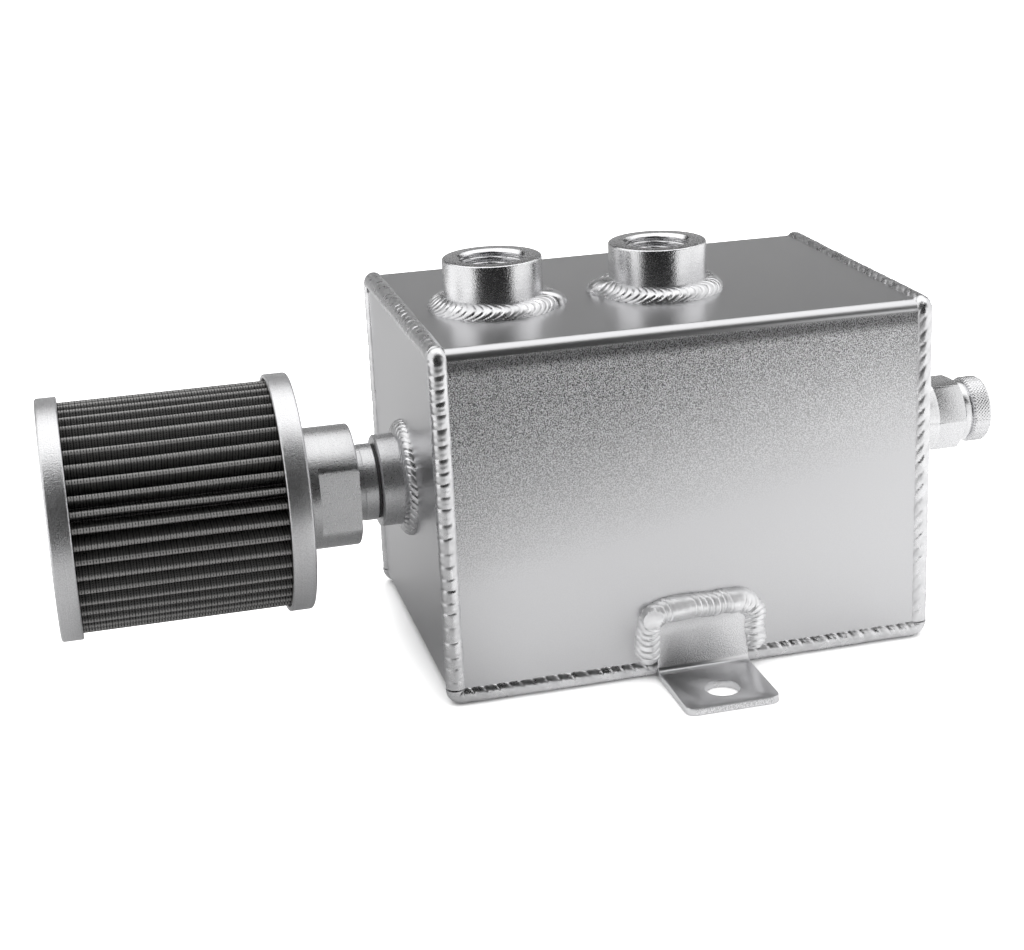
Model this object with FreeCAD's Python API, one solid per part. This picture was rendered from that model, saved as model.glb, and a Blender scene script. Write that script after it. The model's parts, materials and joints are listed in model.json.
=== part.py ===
import FreeCAD, Part
import math
import os

# Oil catch can: a welded box of two folded sheets, with a screwed-in breather filter at its left end,
# two threaded hose bosses on top, a drain fitting with a screw cap at its right end, and two feet.
# All sizes are in millimetres. The origin is midway between the two fixing holes, in the plane that
# the feet stand on. +X points to the drain end, +Y to the back and +Z up.

Vector = FreeCAD.Vector

# Tank: outside sizes of the box that the two folded sheets make
tank_length = 160.0
tank_depth = 112.0
tank_height = 113.0
sheet = 2.0
fold_radius = 4.0
feet_to_tank_centre = 2.0

# Round beads that fill the open corners between the two sheets, about the inner corner line
seam_radius = 3.2

# Threaded bosses for the hose fittings, on top of the tank
inlet_from_left_end = 31.0
boss_spacing = 55.4
boss_forward = 5.8
boss_radius = 16.0
boss_height = 16.0
boss_bore_radius = 10.25
boss_mouth_chamfer = 1.4
boss_edge_chamfer = 0.6
boss_spigot_radius = 13.5
boss_weld_width = 5.5
boss_weld_height = 4.2
ring_weld_facets = 4

# Turned pieces that sit in a hole of a sheet
spigot_clearance = 0.1

# Feet: one folded strip on the front of the tank and one on the back
foot_width = 30.4
foot_reach = 31.6
foot_sheet = 2.5
foot_bend_radius = 2.0
foot_hole_radius = 5.5
foot_hole_from_wall = 20.3
foot_corner_radius = 3.0
foot_leg_height = 20.0
foot_leg_corner_radius = 5.5
foot_weld_radius = 4.3
foot_weld_outside_leg = 2.5
foot_weld_above_ground = 0.4

# Breather stub on the left end wall
stub_radius = 15.1
stub_length = 10.3
stub_chamfer = 0.8
stub_spigot_radius = 14.0
stub_weld_width = 4.2
stub_weld_height = 3.6

# Screw thread between stub and neck, drawn as plain cylinders
breather_thread_radius = 11.0
breather_thread_length = 9.5
thread_clearance = 0.05

# Washer between stub and neck
breather_seal_thickness = 0.8
breather_seal_width = 1.1
seal_clearance = 0.05

# Neck and collar of the filter
neck_radius = 12.6
neck_length = 6.7
neck_bore_radius = 8.5
collar_radius = 19.9
collar_length = 17.9
collar_chamfer = 0.7
flat_from_axis = 16.7
flat_short_of_cap = 4.8
neck_lip_radius = 15.5
neck_lip_thickness = 1.0
neck_spigot_radius = 14.0

# Filter: two cups with the pleated mesh between them
filter_radius = 38.6
filter_length = 79.2
inner_cup_depth = 7.5
outer_cup_depth = 6.9
cup_wall = 1.5
cup_edge_chamfer = 0.7
mesh_thickness = 0.6
pleat_count = 45
pleat_crest_radius = 0.9
pleat_root_radius = 0.7
bend_facets = 4
pleat_outer_radius = 36.6
pleat_inner_radius = 26.2

# Slotted tube inside the pleats
core_clearance = 0.2
core_wall = 0.8
core_slot_length = 9.0
core_slot_width = 7.0
core_slot_rows = 5
core_slot_pairs = 4
core_slot_pitch = 13.5

# Bung welded to the right end wall
bung_radius = 15.1
bung_length = 12.0
bung_chamfer = 0.8
bung_spigot_radius = 13.0
bung_weld_width = 4.2
bung_weld_height = 3.6

# Drain fitting, screwed into the bung
drain_thread_radius = 9.0
drain_thread_length = 10.0
drain_seal_thickness = 1.5
drain_seal_width = 3.4
drain_round_radius = 12.9
drain_round_length = 12.0
drain_hex_across_flats = 22.9
drain_hex_length = 10.5
drain_hex_sides = 6
drain_hex_chamfer = 1.6
drain_hex_chamfer_length = 0.8
drain_bore_radius = 4.5
nipple_radius = 8.0
nipple_length = 6.4

# Screw cap on the drain fitting
cap_gap = 0.4
cap_collar_radius = 10.8
cap_collar_length = 3.0
cap_head_radius = 11.5
cap_head_length = 6.8
cap_chamfer = 0.9
cap_seal_thickness = 1.2
cap_seal_clearance = 0.15

# Perforated plates across the tank
baffle_sheet = 1.5
baffle_flange = 10.0
baffle_bend_radius = 1.5
baffle_hole_radius = 7.0
baffle_hole_pitch = 22.0
baffle_hole_rows = 4
baffle_hole_columns = 4
right_baffle_from_right_end = 41.0

# Places worked out from the sizes above
tank_centre = -feet_to_tank_centre
tank_left = tank_centre - tank_length / 2
tank_right = tank_centre + tank_length / 2
tank_front = -tank_depth / 2
tank_back = tank_depth / 2
tank_floor = seam_radius - sheet
tank_top = tank_floor + tank_height
inner_left = tank_left + sheet
inner_right = tank_right - sheet
inner_front = tank_front + sheet
inner_back = tank_back - sheet
inner_floor = tank_floor + sheet
inner_top = tank_top - sheet
inner_fold = fold_radius - sheet
axis_height = tank_floor + tank_height / 2
inlet_x = tank_left + inlet_from_left_end
outlet_x = inlet_x + boss_spacing
boss_y = -boss_forward
overshoot = 5.0
coincident = 1e-6


def on_xz(y):
    """Place function for an outline that lies in the plane at this y."""
    return lambda a, b: Vector(a, y, b)


def on_yz(x):
    """Place function for an outline that lies in the plane at this x."""
    return lambda a, b: Vector(x, a, b)


def outline(corners, place):
    """Flat face with these (a, b, radius) corners, each rounded by its radius."""
    edges = []
    ends = []
    count = len(corners)
    for index, (a, b, radius) in enumerate(corners):
        corner = place(a, b)
        before = place(*corners[index - 1][:2]) - corner
        after = place(*corners[(index + 1) % count][:2]) - corner
        if radius <= 0:
            ends.append((corner, corner))
            continue
        half_angle = before.getAngle(after) / 2
        before.normalize()
        after.normalize()
        setback = radius / math.tan(half_angle)
        inward = before + after
        inward.normalize()
        middle = corner + inward * (radius / math.sin(half_angle) - radius)
        start = corner + before * setback
        end = corner + after * setback
        edges.append(Part.Arc(start, middle, end).toShape())
        ends.append((start, end))
    for index in range(count):
        start = ends[index - 1][1]
        end = ends[index][0]
        if start.distanceToPoint(end) > coincident:
            edges.append(Part.LineSegment(start, end).toShape())
    return Part.Face(Part.Wire(Part.__sortEdges__(edges)))


def turned_along_x(corners):
    """Piece turned about the common axis of breather and drain, from (x, radius, rounding) corners."""
    face = outline(corners, lambda a, b: Vector(a, 0, axis_height + b))
    return face.revolve(Vector(0, 0, axis_height), Vector(1, 0, 0), 360)


def turned_along_z(corners, x, y):
    """Piece turned about an upright axis at x, y, from (z, radius, rounding) corners."""
    face = outline(corners, lambda a, b: Vector(x + b, y, a))
    return face.revolve(Vector(x, y, 0), Vector(0, 0, 1), 360)


def cylinder_along_x(start, end, radius):
    """Cylinder on the common axis of breather and drain."""
    base = Vector(min(start, end), 0, axis_height)
    return Part.makeCylinder(radius, abs(end - start), base, Vector(1, 0, 0))


def channel_outline(near, far, closed, open_end, radius, place):
    """Outline of a channel, rounded at its closed side and square at its open one."""
    corners = ((near, open_end, 0), (near, closed, radius), (far, closed, radius), (far, open_end, 0))
    return outline(corners, place)


def filled_base():
    """The base channel with its hollow filled: floor and end walls, between front and back."""
    side = channel_outline(tank_left, tank_right, tank_floor, inner_top, fold_radius, on_xz(inner_front))
    block = side.extrude(Vector(0, inner_back - inner_front, 0))
    end = channel_outline(inner_front, inner_back, inner_top, tank_floor, inner_fold, on_yz(tank_left))
    return block.common(end.extrude(Vector(tank_length, 0, 0)))


def filled_cover():
    """The cover channel with its hollow filled: front, top and back, between the end walls."""
    end = channel_outline(tank_front, tank_back, tank_top, inner_floor, fold_radius, on_yz(inner_left))
    block = end.extrude(Vector(inner_right - inner_left, 0, 0))
    side = channel_outline(inner_left, inner_right, inner_floor, tank_top, inner_fold, on_xz(tank_front))
    return block.common(side.extrude(Vector(0, tank_depth, 0)))


def tank_base_channel():
    """Floor and end walls, with a hole in each end wall for the piece welded there."""
    top = tank_top + overshoot
    hollow = channel_outline(inner_left, inner_right, inner_floor, top, inner_fold, on_xz(tank_front))
    channel = filled_base().cut(hollow.extrude(Vector(0, tank_depth, 0)))
    stub_hole_radius = stub_spigot_radius + spigot_clearance
    bung_hole_radius = bung_spigot_radius + spigot_clearance
    channel = channel.cut(cylinder_along_x(tank_left - overshoot, inner_left + overshoot, stub_hole_radius))
    return channel.cut(cylinder_along_x(inner_right - overshoot, tank_right + overshoot, bung_hole_radius))


def tank_cover_channel():
    """Front, top and back, with a hole in the top for each boss."""
    bottom = inner_floor - overshoot
    hollow = channel_outline(inner_front, inner_back, inner_top, bottom, inner_fold, on_yz(tank_left))
    channel = filled_cover().cut(hollow.extrude(Vector(tank_length, 0, 0)))
    hole_radius = boss_spigot_radius + spigot_clearance
    for x in (inlet_x, outlet_x):
        base = Vector(x, boss_y, inner_top - overshoot)
        channel = channel.cut(Part.makeCylinder(hole_radius, sheet + 2 * overshoot, base))
    return channel


def rod(start, end, radius):
    """Straight run of a round bead."""
    return Part.makeCylinder(radius, start.distanceToPoint(end), start, end - start)


def bend(start, centre, end, radius):
    """Quarter bend of a round bead about centre, without what would lie past the centre."""
    arm = start - centre
    axis = arm.cross(end - centre)
    axis.normalize()
    path_radius = arm.Length
    arm.normalize()
    if path_radius >= radius:
        section = Part.Face(Part.Wire(Part.Circle(start, end - centre, radius).toShape()))
        return section.revolve(centre, axis, 90)
    half_chord = math.sqrt(radius ** 2 - path_radius ** 2)
    low = centre - axis * half_chord
    high = centre + axis * half_chord
    arc = Part.Arc(low, centre + arm * (path_radius + radius), high).toShape()
    section = Part.Face(Part.Wire([arc, Part.LineSegment(high, low).toShape()]))
    return section.revolve(centre, axis, 90)


def channel_bead(near, far, closed, open_end, fold, radius, place):
    """Round bead along the outline of a channel: down one side, round its folds and up the other."""
    inward = math.copysign(fold, far - near)
    upward = math.copysign(fold, open_end - closed)
    near_bend = (
        place(near, closed + upward),
        place(near + inward, closed + upward),
        place(near + inward, closed),
    )
    far_bend = (
        place(far - inward, closed),
        place(far - inward, closed + upward),
        place(far, closed + upward),
    )
    pieces = [
        rod(near_bend[2], far_bend[0], radius),
        bend(*near_bend, radius),
        bend(*far_bend, radius),
    ]
    if abs(open_end - closed) > fold + coincident:
        pieces.append(rod(place(near, open_end), near_bend[0], radius))
        pieces.append(rod(far_bend[2], place(far, open_end), radius))
    return pieces[0].multiFuse(pieces[1:])


def end_seam(x):
    """Bead between an end wall and the cover, from the floor's fold up, over the top and down again."""
    bottom = tank_floor + fold_radius
    bead = channel_bead(inner_front, inner_back, inner_top, bottom, inner_fold, seam_radius, on_yz(x))
    return bead.cut(filled_base().fuse(filled_cover()))


def floor_seam(y):
    """Bead between the floor and the cover, level with the tank's face behind the foot."""
    top = inner_floor + inner_fold
    bead = channel_bead(inner_left, inner_right, inner_floor, top, inner_fold, seam_radius, on_xz(y))
    bead = bead.cut(filled_base().fuse(filled_cover()))
    side = math.copysign(1, y)
    wall = tank_depth / 2
    behind_foot = Part.makeBox(foot_width, seam_radius, foot_leg_height + seam_radius)
    low_y = wall if side > 0 else -wall - seam_radius
    behind_foot.translate(Vector(-foot_width / 2, low_y, -seam_radius))
    return bead.cut(behind_foot)


def ring_weld_corners(seat, direction, radius, width, height):
    """Section of a fillet weld round a turned piece that stands on a sheet."""
    corners = [(seat, radius, 0)]
    for step in range(ring_weld_facets + 1):
        angle = math.pi / 2 * step / ring_weld_facets
        corners.append((seat + direction * height * math.sin(angle), radius + width * math.cos(angle), 0))
    return corners


def boss(x):
    """Turned boss with a threaded bore, on a spigot in the top sheet."""
    mouth = tank_top + boss_height
    corners = (
        (inner_top, boss_bore_radius, 0),
        (inner_top, boss_spigot_radius, 0),
        (tank_top, boss_spigot_radius, 0),
        (tank_top, boss_radius, 0),
        (mouth - boss_edge_chamfer, boss_radius, 0),
        (mouth, boss_radius - boss_edge_chamfer, 0),
        (mouth, boss_bore_radius + boss_mouth_chamfer, 0),
        (mouth - boss_mouth_chamfer, boss_bore_radius, 0),
    )
    return turned_along_z(corners, x, boss_y)


def boss_weld(x):
    """Ring weld round a boss."""
    corners = ring_weld_corners(tank_top, 1, boss_radius, boss_weld_width, boss_weld_height)
    return turned_along_z(corners, x, boss_y)


def front_foot():
    """Folded strip with its leg on the front wall and its foot in the plane that the can stands on."""
    toe = tank_front - foot_reach
    leg = tank_front - foot_sheet
    corners = (
        (toe, 0, 0),
        (tank_front, 0, foot_bend_radius + foot_sheet),
        (tank_front, foot_leg_height, 0),
        (leg, foot_leg_height, 0),
        (leg, foot_sheet, foot_bend_radius),
        (toe, foot_sheet, 0),
    )
    left = -foot_width / 2
    strip = outline(corners, on_yz(left)).extrude(Vector(foot_width, 0, 0))
    leg_side = channel_outline(left, -left, foot_leg_height, 0, foot_leg_corner_radius, on_xz(toe))
    strip = strip.common(leg_side.extrude(Vector(0, foot_reach, 0)))
    plan = channel_outline(left, -left, toe, tank_front, foot_corner_radius, lambda a, b: Vector(a, b, 0))
    strip = strip.common(plan.extrude(Vector(0, 0, foot_leg_height)))
    hole_centre = Vector(0, tank_front - foot_hole_from_wall, -overshoot)
    return strip.cut(Part.makeCylinder(foot_hole_radius, foot_sheet + 2 * overshoot, hole_centre))


def front_foot_weld():
    """Thick bead up one side of the foot's leg, over its top and down the other side."""
    left = -foot_width / 2 - foot_weld_outside_leg
    high = foot_leg_height + foot_weld_outside_leg
    fold = foot_leg_corner_radius + foot_weld_outside_leg
    start = foot_weld_radius + foot_weld_above_ground
    place = on_xz(tank_front)
    bead = channel_bead(left, -left, high, start, fold, foot_weld_radius, place)
    ends = [Part.makeSphere(foot_weld_radius, place(x, start)) for x in (left, -left)]
    bead = bead.multiFuse(ends)
    bend_outside = foot_bend_radius + foot_sheet
    under_bend = Part.makeBox(foot_width, bend_outside, bend_outside)
    under_bend.translate(Vector(-foot_width / 2, tank_front - bend_outside, 0))
    for neighbour in (filled_base().fuse(filled_cover()), under_bend, front_foot(), floor_seam(inner_front)):
        bead = bead.cut(neighbour)
    return bead


def mirrored_to_back(shape):
    """The same piece on the back of the tank."""
    return shape.mirror(Vector(0, 0, 0), Vector(0, 1, 0))


# Places along the common axis, outwards from the left end wall
stub_mouth = tank_left - stub_length
neck_shoulder = stub_mouth - breather_seal_thickness - 2 * seal_clearance
collar_face = neck_shoulder - neck_length
filter_face = collar_face - collar_length
filter_end = filter_face - filter_length
inner_disc = filter_face - cup_wall
outer_disc = filter_end + cup_wall


def breather_stub():
    """Turned stub on the left end wall, with a threaded bore."""
    bore = breather_thread_radius + thread_clearance
    return turned_along_x((
        (inner_left, bore, 0),
        (inner_left, stub_spigot_radius, 0),
        (tank_left, stub_spigot_radius, 0),
        (tank_left, stub_radius, 0),
        (stub_mouth + stub_chamfer, stub_radius, 0),
        (stub_mouth, stub_radius - stub_chamfer, 0),
        (stub_mouth, bore, 0),
    ))


def breather_stub_weld():
    """Ring weld round the breather stub."""
    return turned_along_x(ring_weld_corners(tank_left, -1, stub_radius, stub_weld_width, stub_weld_height))


def breather_seal():
    """Washer round the neck's thread, between the stub and the neck's shoulder."""
    inner = breather_thread_radius + 2 * thread_clearance
    start = stub_mouth - seal_clearance
    end = start - breather_seal_thickness
    outer = inner + breather_seal_width
    return turned_along_x(((start, inner, 0), (start, outer, 0), (end, outer, 0), (end, inner, 0)))


def breather_neck():
    """Collar with two spanner flats, neck and thread, turned as one piece and rolled over in the inner cup."""
    thread_end = stub_mouth + breather_thread_length
    lip_end = inner_disc - neck_lip_thickness
    neck = turned_along_x((
        (lip_end, neck_bore_radius, 0),
        (lip_end, neck_lip_radius, 0),
        (inner_disc, neck_lip_radius, 0),
        (inner_disc, neck_spigot_radius, 0),
        (filter_face, neck_spigot_radius, 0),
        (filter_face, collar_radius, 0),
        (collar_face - collar_chamfer, collar_radius, 0),
        (collar_face, collar_radius - collar_chamfer, 0),
        (collar_face, neck_radius, 0),
        (neck_shoulder, neck_radius, 0),
        (neck_shoulder, breather_thread_radius, 0),
        (thread_end, breather_thread_radius, 0),
        (thread_end, neck_bore_radius, 0),
    ))
    flat_start = filter_face + flat_short_of_cap
    for side in (1, -1):
        cut_off = Part.makeBox(collar_face - flat_start + overshoot, collar_radius, 2 * collar_radius)
        low_y = flat_from_axis if side > 0 else -flat_from_axis - collar_radius
        cut_off.translate(Vector(flat_start, low_y, axis_height - collar_radius))
        neck = neck.cut(cut_off)
    return neck


def cup(face, rim, disc, hole_radius):
    """Cup with its flat disc at face and its wall reaching to rim, with a hole in the disc if wanted."""
    outwards = math.copysign(cup_edge_chamfer, face - rim)
    corners = [
        (face, hole_radius, 0),
        (face, filter_radius - cup_edge_chamfer, 0),
        (face - outwards, filter_radius, 0),
        (rim + outwards, filter_radius, 0),
        (rim, filter_radius - cup_edge_chamfer, 0),
        (rim, filter_radius - cup_wall, 0),
        (disc, filter_radius - cup_wall, 0),
        (disc, hole_radius, 0),
    ]
    return turned_along_x(corners)


def filter_inner_cap():
    """Cup on the tank's side of the filter, clamped between the collar and the neck's lip."""
    return cup(filter_face, filter_face - inner_cup_depth, inner_disc, neck_spigot_radius)


def filter_outer_cap():
    """Closed cup at the filter's free end."""
    return cup(filter_end, filter_end + outer_cup_depth, outer_disc, 0)


def pleat_bend(x, centre, place_angle, radius, facing, half_sweep):
    """Corners of one bend of the pleats, about a centre at this distance and angle from the common axis."""
    corners = []
    for step in range(bend_facets + 1):
        angle = facing + half_sweep * (2 * step / bend_facets - 1)
        a = centre * math.cos(place_angle) + radius * math.cos(angle)
        b = centre * math.sin(place_angle) + radius * math.sin(angle)
        corners.append(Vector(x, a, axis_height + b))
    return corners


def pleated_wire(crest_radius, root_radius, x):
    """One face of the pleated sheet, round the whole filter, with a few straight facets in each bend."""
    half_sheet = mesh_thickness / 2
    crest_centre = pleat_outer_radius - pleat_crest_radius - half_sheet
    root_centre = pleat_inner_radius + pleat_root_radius + half_sheet
    half_pitch = math.pi / pleat_count
    root_along = root_centre * math.cos(half_pitch) - crest_centre
    root_across = root_centre * math.sin(half_pitch)
    lean = math.acos((pleat_crest_radius + pleat_root_radius) / math.hypot(root_along, root_across))
    flank_angle = math.atan2(root_across, root_along) - lean
    corners = []
    for pleat in range(pleat_count):
        crest = 2 * half_pitch * pleat
        root = crest + half_pitch
        corners += pleat_bend(x, crest_centre, crest, crest_radius, crest, flank_angle)
        corners += pleat_bend(x, root_centre, root, root_radius, root + math.pi, half_pitch - flank_angle)
    return Part.makePolygon(corners + corners[:1])


def filter_element():
    """Wire mesh folded into pleats, closed into a ring between the two cups."""
    half_sheet = mesh_thickness / 2
    outside = pleated_wire(pleat_crest_radius + half_sheet, pleat_root_radius - half_sheet, outer_disc)
    inside = pleated_wire(pleat_crest_radius - half_sheet, pleat_root_radius + half_sheet, outer_disc)
    ring = Part.Face(outside).cut(Part.Face(inside))
    return ring.extrude(Vector(inner_disc - outer_disc, 0, 0))


def filter_core_tube():
    """Slotted tube that carries the roots of the pleats."""
    outer = pleat_inner_radius - core_clearance
    inner = outer - core_wall
    tube = cylinder_along_x(outer_disc, inner_disc, outer).cut(cylinder_along_x(outer_disc, inner_disc, inner))
    first = (outer_disc + inner_disc) / 2 - (core_slot_rows - 1) * core_slot_pitch / 2
    slots = []
    for row in range(core_slot_rows):
        for pair in range(core_slot_pairs):
            slot = Part.makeBox(core_slot_length, core_slot_width, 2 * outer + overshoot)
            low = Vector(-core_slot_length / 2, -core_slot_width / 2, -outer - overshoot / 2)
            slot.translate(low + Vector(first + row * core_slot_pitch, 0, axis_height))
            centre = Vector(0, 0, axis_height)
            slot.rotate(centre, Vector(1, 0, 0), 180 * pair / core_slot_pairs)
            slots.append(slot)
    return tube.cut(slots)


# Places along the common axis, outwards from the right end wall
bung_mouth = tank_right + bung_length
drain_shoulder = bung_mouth + drain_seal_thickness
hex_start = drain_shoulder + drain_round_length
hex_end = hex_start + drain_hex_length
nipple_end = hex_end + nipple_length
cap_start = hex_end + cap_gap
cap_head_start = cap_start + cap_collar_length
cap_end = cap_head_start + cap_head_length
cap_seat = nipple_end + cap_seal_thickness + 2 * seal_clearance


def drain_bung():
    """Turned bung on the right end wall, with a threaded bore."""
    return turned_along_x((
        (inner_right, drain_thread_radius, 0),
        (inner_right, bung_spigot_radius, 0),
        (tank_right, bung_spigot_radius, 0),
        (tank_right, bung_radius, 0),
        (bung_mouth - bung_chamfer, bung_radius, 0),
        (bung_mouth, bung_radius - bung_chamfer, 0),
        (bung_mouth, drain_thread_radius, 0),
    ))


def drain_bung_weld():
    """Ring weld round the bung."""
    return turned_along_x(ring_weld_corners(tank_right, 1, bung_radius, bung_weld_width, bung_weld_height))


def drain_fitting_seal():
    """Washer between the bung and the shoulder of the drain fitting."""
    inner = drain_thread_radius
    outer = inner + drain_seal_width
    return turned_along_x((
        (bung_mouth, inner, 0),
        (bung_mouth, outer, 0),
        (drain_shoulder, outer, 0),
        (drain_shoulder, inner, 0),
    ))


def drain_fitting():
    """Drain fitting: thread, round body, hexagon with one flat on top, and the nipple for the cap."""
    half_side_angle = math.pi / drain_hex_sides
    corner_radius = drain_hex_across_flats / 2 / math.cos(half_side_angle)
    body = turned_along_x((
        (bung_mouth - drain_thread_length, drain_bore_radius, 0),
        (bung_mouth - drain_thread_length, drain_thread_radius, 0),
        (drain_shoulder, drain_thread_radius, 0),
        (drain_shoulder, drain_round_radius, 0),
        (hex_start, drain_round_radius, 0),
        (hex_start, nipple_radius, 0),
        (nipple_end, nipple_radius, 0),
        (nipple_end, drain_bore_radius, 0),
    ))
    across = []
    for side in range(drain_hex_sides):
        angle = 2 * half_side_angle * side
        across.append((corner_radius * math.cos(angle), axis_height + corner_radius * math.sin(angle), 0))
    hexagon = outline(across, on_yz(hex_start)).extrude(Vector(drain_hex_length, 0, 0))
    chamfered = turned_along_x((
        (hex_start, drain_bore_radius, 0),
        (hex_start, corner_radius, 0),
        (hex_end - drain_hex_chamfer_length, corner_radius, 0),
        (hex_end, corner_radius - drain_hex_chamfer, 0),
        (hex_end, drain_bore_radius, 0),
    ))
    return body.fuse(hexagon.common(chamfered)).removeSplitter()


def drain_cap():
    """Screw cap with a smooth collar and a wider head, open towards the fitting."""
    bore = nipple_radius + thread_clearance
    return turned_along_x((
        (cap_start, bore, 0),
        (cap_start, cap_collar_radius, 0),
        (cap_head_start, cap_collar_radius, 0),
        (cap_head_start, cap_head_radius, 0),
        (cap_end - cap_chamfer, cap_head_radius, 0),
        (cap_end, cap_head_radius - cap_chamfer, 0),
        (cap_end, 0, 0),
        (cap_seat, 0, 0),
        (cap_seat, bore, 0),
    ))


def drain_cap_seal():
    """Sealing disc between the nipple and the bottom of the cap."""
    start = nipple_end + seal_clearance
    return cylinder_along_x(start, start + cap_seal_thickness, nipple_radius - cap_seal_clearance)


def baffle_plate(x):
    """Perforated plate across the tank, with a flange on the floor."""
    profile = (
        (x, inner_top, 0),
        (x, inner_floor, baffle_sheet + baffle_bend_radius),
        (x + baffle_flange, inner_floor, 0),
        (x + baffle_flange, inner_floor + baffle_sheet, 0),
        (x + baffle_sheet, inner_floor + baffle_sheet, baffle_bend_radius),
        (x + baffle_sheet, inner_top, 0),
    )
    plate = outline(profile, on_xz(inner_front)).extrude(Vector(0, inner_back - inner_front, 0))
    across = channel_outline(inner_front, inner_back, inner_top, inner_floor, inner_fold, on_yz(x))
    plate = plate.common(across.extrude(Vector(baffle_flange, 0, 0)))
    holes = []
    for row in range(baffle_hole_rows):
        for column in range(baffle_hole_columns):
            y = (column - (baffle_hole_columns - 1) / 2) * baffle_hole_pitch
            z = axis_height + (row - (baffle_hole_rows - 1) / 2) * baffle_hole_pitch
            base = Vector(x - overshoot, y, z)
            holes.append(Part.makeCylinder(baffle_hole_radius, 2 * overshoot, base, Vector(1, 0, 0)))
    return plate.cut(holes)


def all_pieces():
    """Every piece of the can by name."""
    front_bracket = front_foot()
    front_bracket_weld = front_foot_weld()
    return {
        "tank_base_channel": tank_base_channel(),
        "tank_cover_channel": tank_cover_channel(),
        "left_end_seam": end_seam(inner_left),
        "right_end_seam": end_seam(inner_right),
        "front_floor_seam": floor_seam(inner_front),
        "back_floor_seam": floor_seam(inner_back),
        "inlet_boss": boss(inlet_x),
        "outlet_boss": boss(outlet_x),
        "inlet_boss_weld": boss_weld(inlet_x),
        "outlet_boss_weld": boss_weld(outlet_x),
        "front_bracket": front_bracket,
        "back_bracket": mirrored_to_back(front_bracket),
        "front_bracket_weld": front_bracket_weld,
        "back_bracket_weld": mirrored_to_back(front_bracket_weld),
        "breather_stub": breather_stub(),
        "breather_stub_weld": breather_stub_weld(),
        "breather_seal": breather_seal(),
        "breather_neck": breather_neck(),
        "filter_inner_cap": filter_inner_cap(),
        "filter_outer_cap": filter_outer_cap(),
        "filter_element": filter_element(),
        "filter_core_tube": filter_core_tube(),
        "drain_bung": drain_bung(),
        "drain_bung_weld": drain_bung_weld(),
        "drain_fitting": drain_fitting(),
        "drain_fitting_seal": drain_fitting_seal(),
        "drain_cap": drain_cap(),
        "drain_cap_seal": drain_cap_seal(),
        "baffle_plate_left": baffle_plate((inlet_x + outlet_x - baffle_sheet) / 2),
        "baffle_plate_right": baffle_plate(tank_right - right_baffle_from_right_end),
    }


os.makedirs("parts", exist_ok=True)
for name, shape in all_pieces().items():
    shape.exportStep(f"parts/{name}.step")
    print(name, shape.ShapeType, len(shape.Solids), shape.isValid(), round(shape.Volume, 1))
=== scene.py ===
"""Looks of a welded oil catch can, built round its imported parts: welds, threads, pleats and metals."""

import json
import math
from collections import namedtuple

import bmesh
import bpy
from mathutils import Matrix, Vector, noise

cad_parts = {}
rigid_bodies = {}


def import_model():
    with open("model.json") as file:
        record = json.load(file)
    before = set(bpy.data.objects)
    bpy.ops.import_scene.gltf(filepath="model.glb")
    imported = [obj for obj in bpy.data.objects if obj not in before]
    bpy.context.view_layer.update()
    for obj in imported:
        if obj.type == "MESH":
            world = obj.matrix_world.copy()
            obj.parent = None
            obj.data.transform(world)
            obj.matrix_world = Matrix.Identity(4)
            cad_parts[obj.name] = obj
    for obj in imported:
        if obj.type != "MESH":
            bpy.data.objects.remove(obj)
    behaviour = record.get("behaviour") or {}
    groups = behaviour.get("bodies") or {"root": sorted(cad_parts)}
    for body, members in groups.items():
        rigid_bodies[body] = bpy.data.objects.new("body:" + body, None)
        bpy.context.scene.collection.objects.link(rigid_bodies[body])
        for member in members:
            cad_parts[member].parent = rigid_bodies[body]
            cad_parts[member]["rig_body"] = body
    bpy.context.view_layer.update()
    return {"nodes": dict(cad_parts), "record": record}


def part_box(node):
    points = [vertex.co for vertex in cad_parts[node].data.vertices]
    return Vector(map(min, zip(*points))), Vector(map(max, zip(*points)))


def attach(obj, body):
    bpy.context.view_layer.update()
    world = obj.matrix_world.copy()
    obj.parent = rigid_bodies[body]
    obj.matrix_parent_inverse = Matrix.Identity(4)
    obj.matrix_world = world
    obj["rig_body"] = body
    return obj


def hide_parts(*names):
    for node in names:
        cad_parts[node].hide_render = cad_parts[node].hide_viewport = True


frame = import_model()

bl_info = {
    "name": "Oil Catch Can",
    "version": (1, 0, 0),
    "blender": (4, 5, 0),
    "location": "View3D > Sidebar > Catch Can",
    "description": "Finishes a welded oil catch can with rippled welds, threads and pleated wire",
    "category": "Object",
}

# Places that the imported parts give, in metres
base_low, base_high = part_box("tank_base_channel")
cover_low, cover_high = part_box("tank_cover_channel")
baffle_low, baffle_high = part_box("baffle_plate_left")
floor_seam_low, floor_seam_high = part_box("front_floor_seam")
stub_low, stub_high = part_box("breather_stub")
foot_low, foot_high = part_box("front_bracket")
neck_low, neck_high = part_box("breather_neck")
inner_cup_low, inner_cup_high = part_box("filter_inner_cap")
outer_cup_low, outer_cup_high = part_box("filter_outer_cap")
element_low, element_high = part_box("filter_element")
bung_low, bung_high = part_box("drain_bung")
cap_low, cap_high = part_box("drain_cap")
axis_height = (stub_low.z + stub_high.z) / 2
common_axis = Vector((0, 0, axis_height))
inner_left, inner_right = cover_low.x, cover_high.x
inner_front, inner_back = baffle_low.y, baffle_high.y
inner_floor, inner_top = baffle_low.z, baffle_high.z
sheet = inner_front - cover_low.y
seam_radius = inner_floor - floor_seam_low.z
inlet_port = next(mount for mount in frame["record"]["mounts"] if mount["name"] == "inlet_port")
port_radius = inlet_port["dims"]["r_mm"] / 1000

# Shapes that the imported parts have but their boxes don't show
fold_radius = 0.004
inner_fold = fold_radius - sheet
cup_wall = 0.0015
neck_spigot = 0.014


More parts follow.
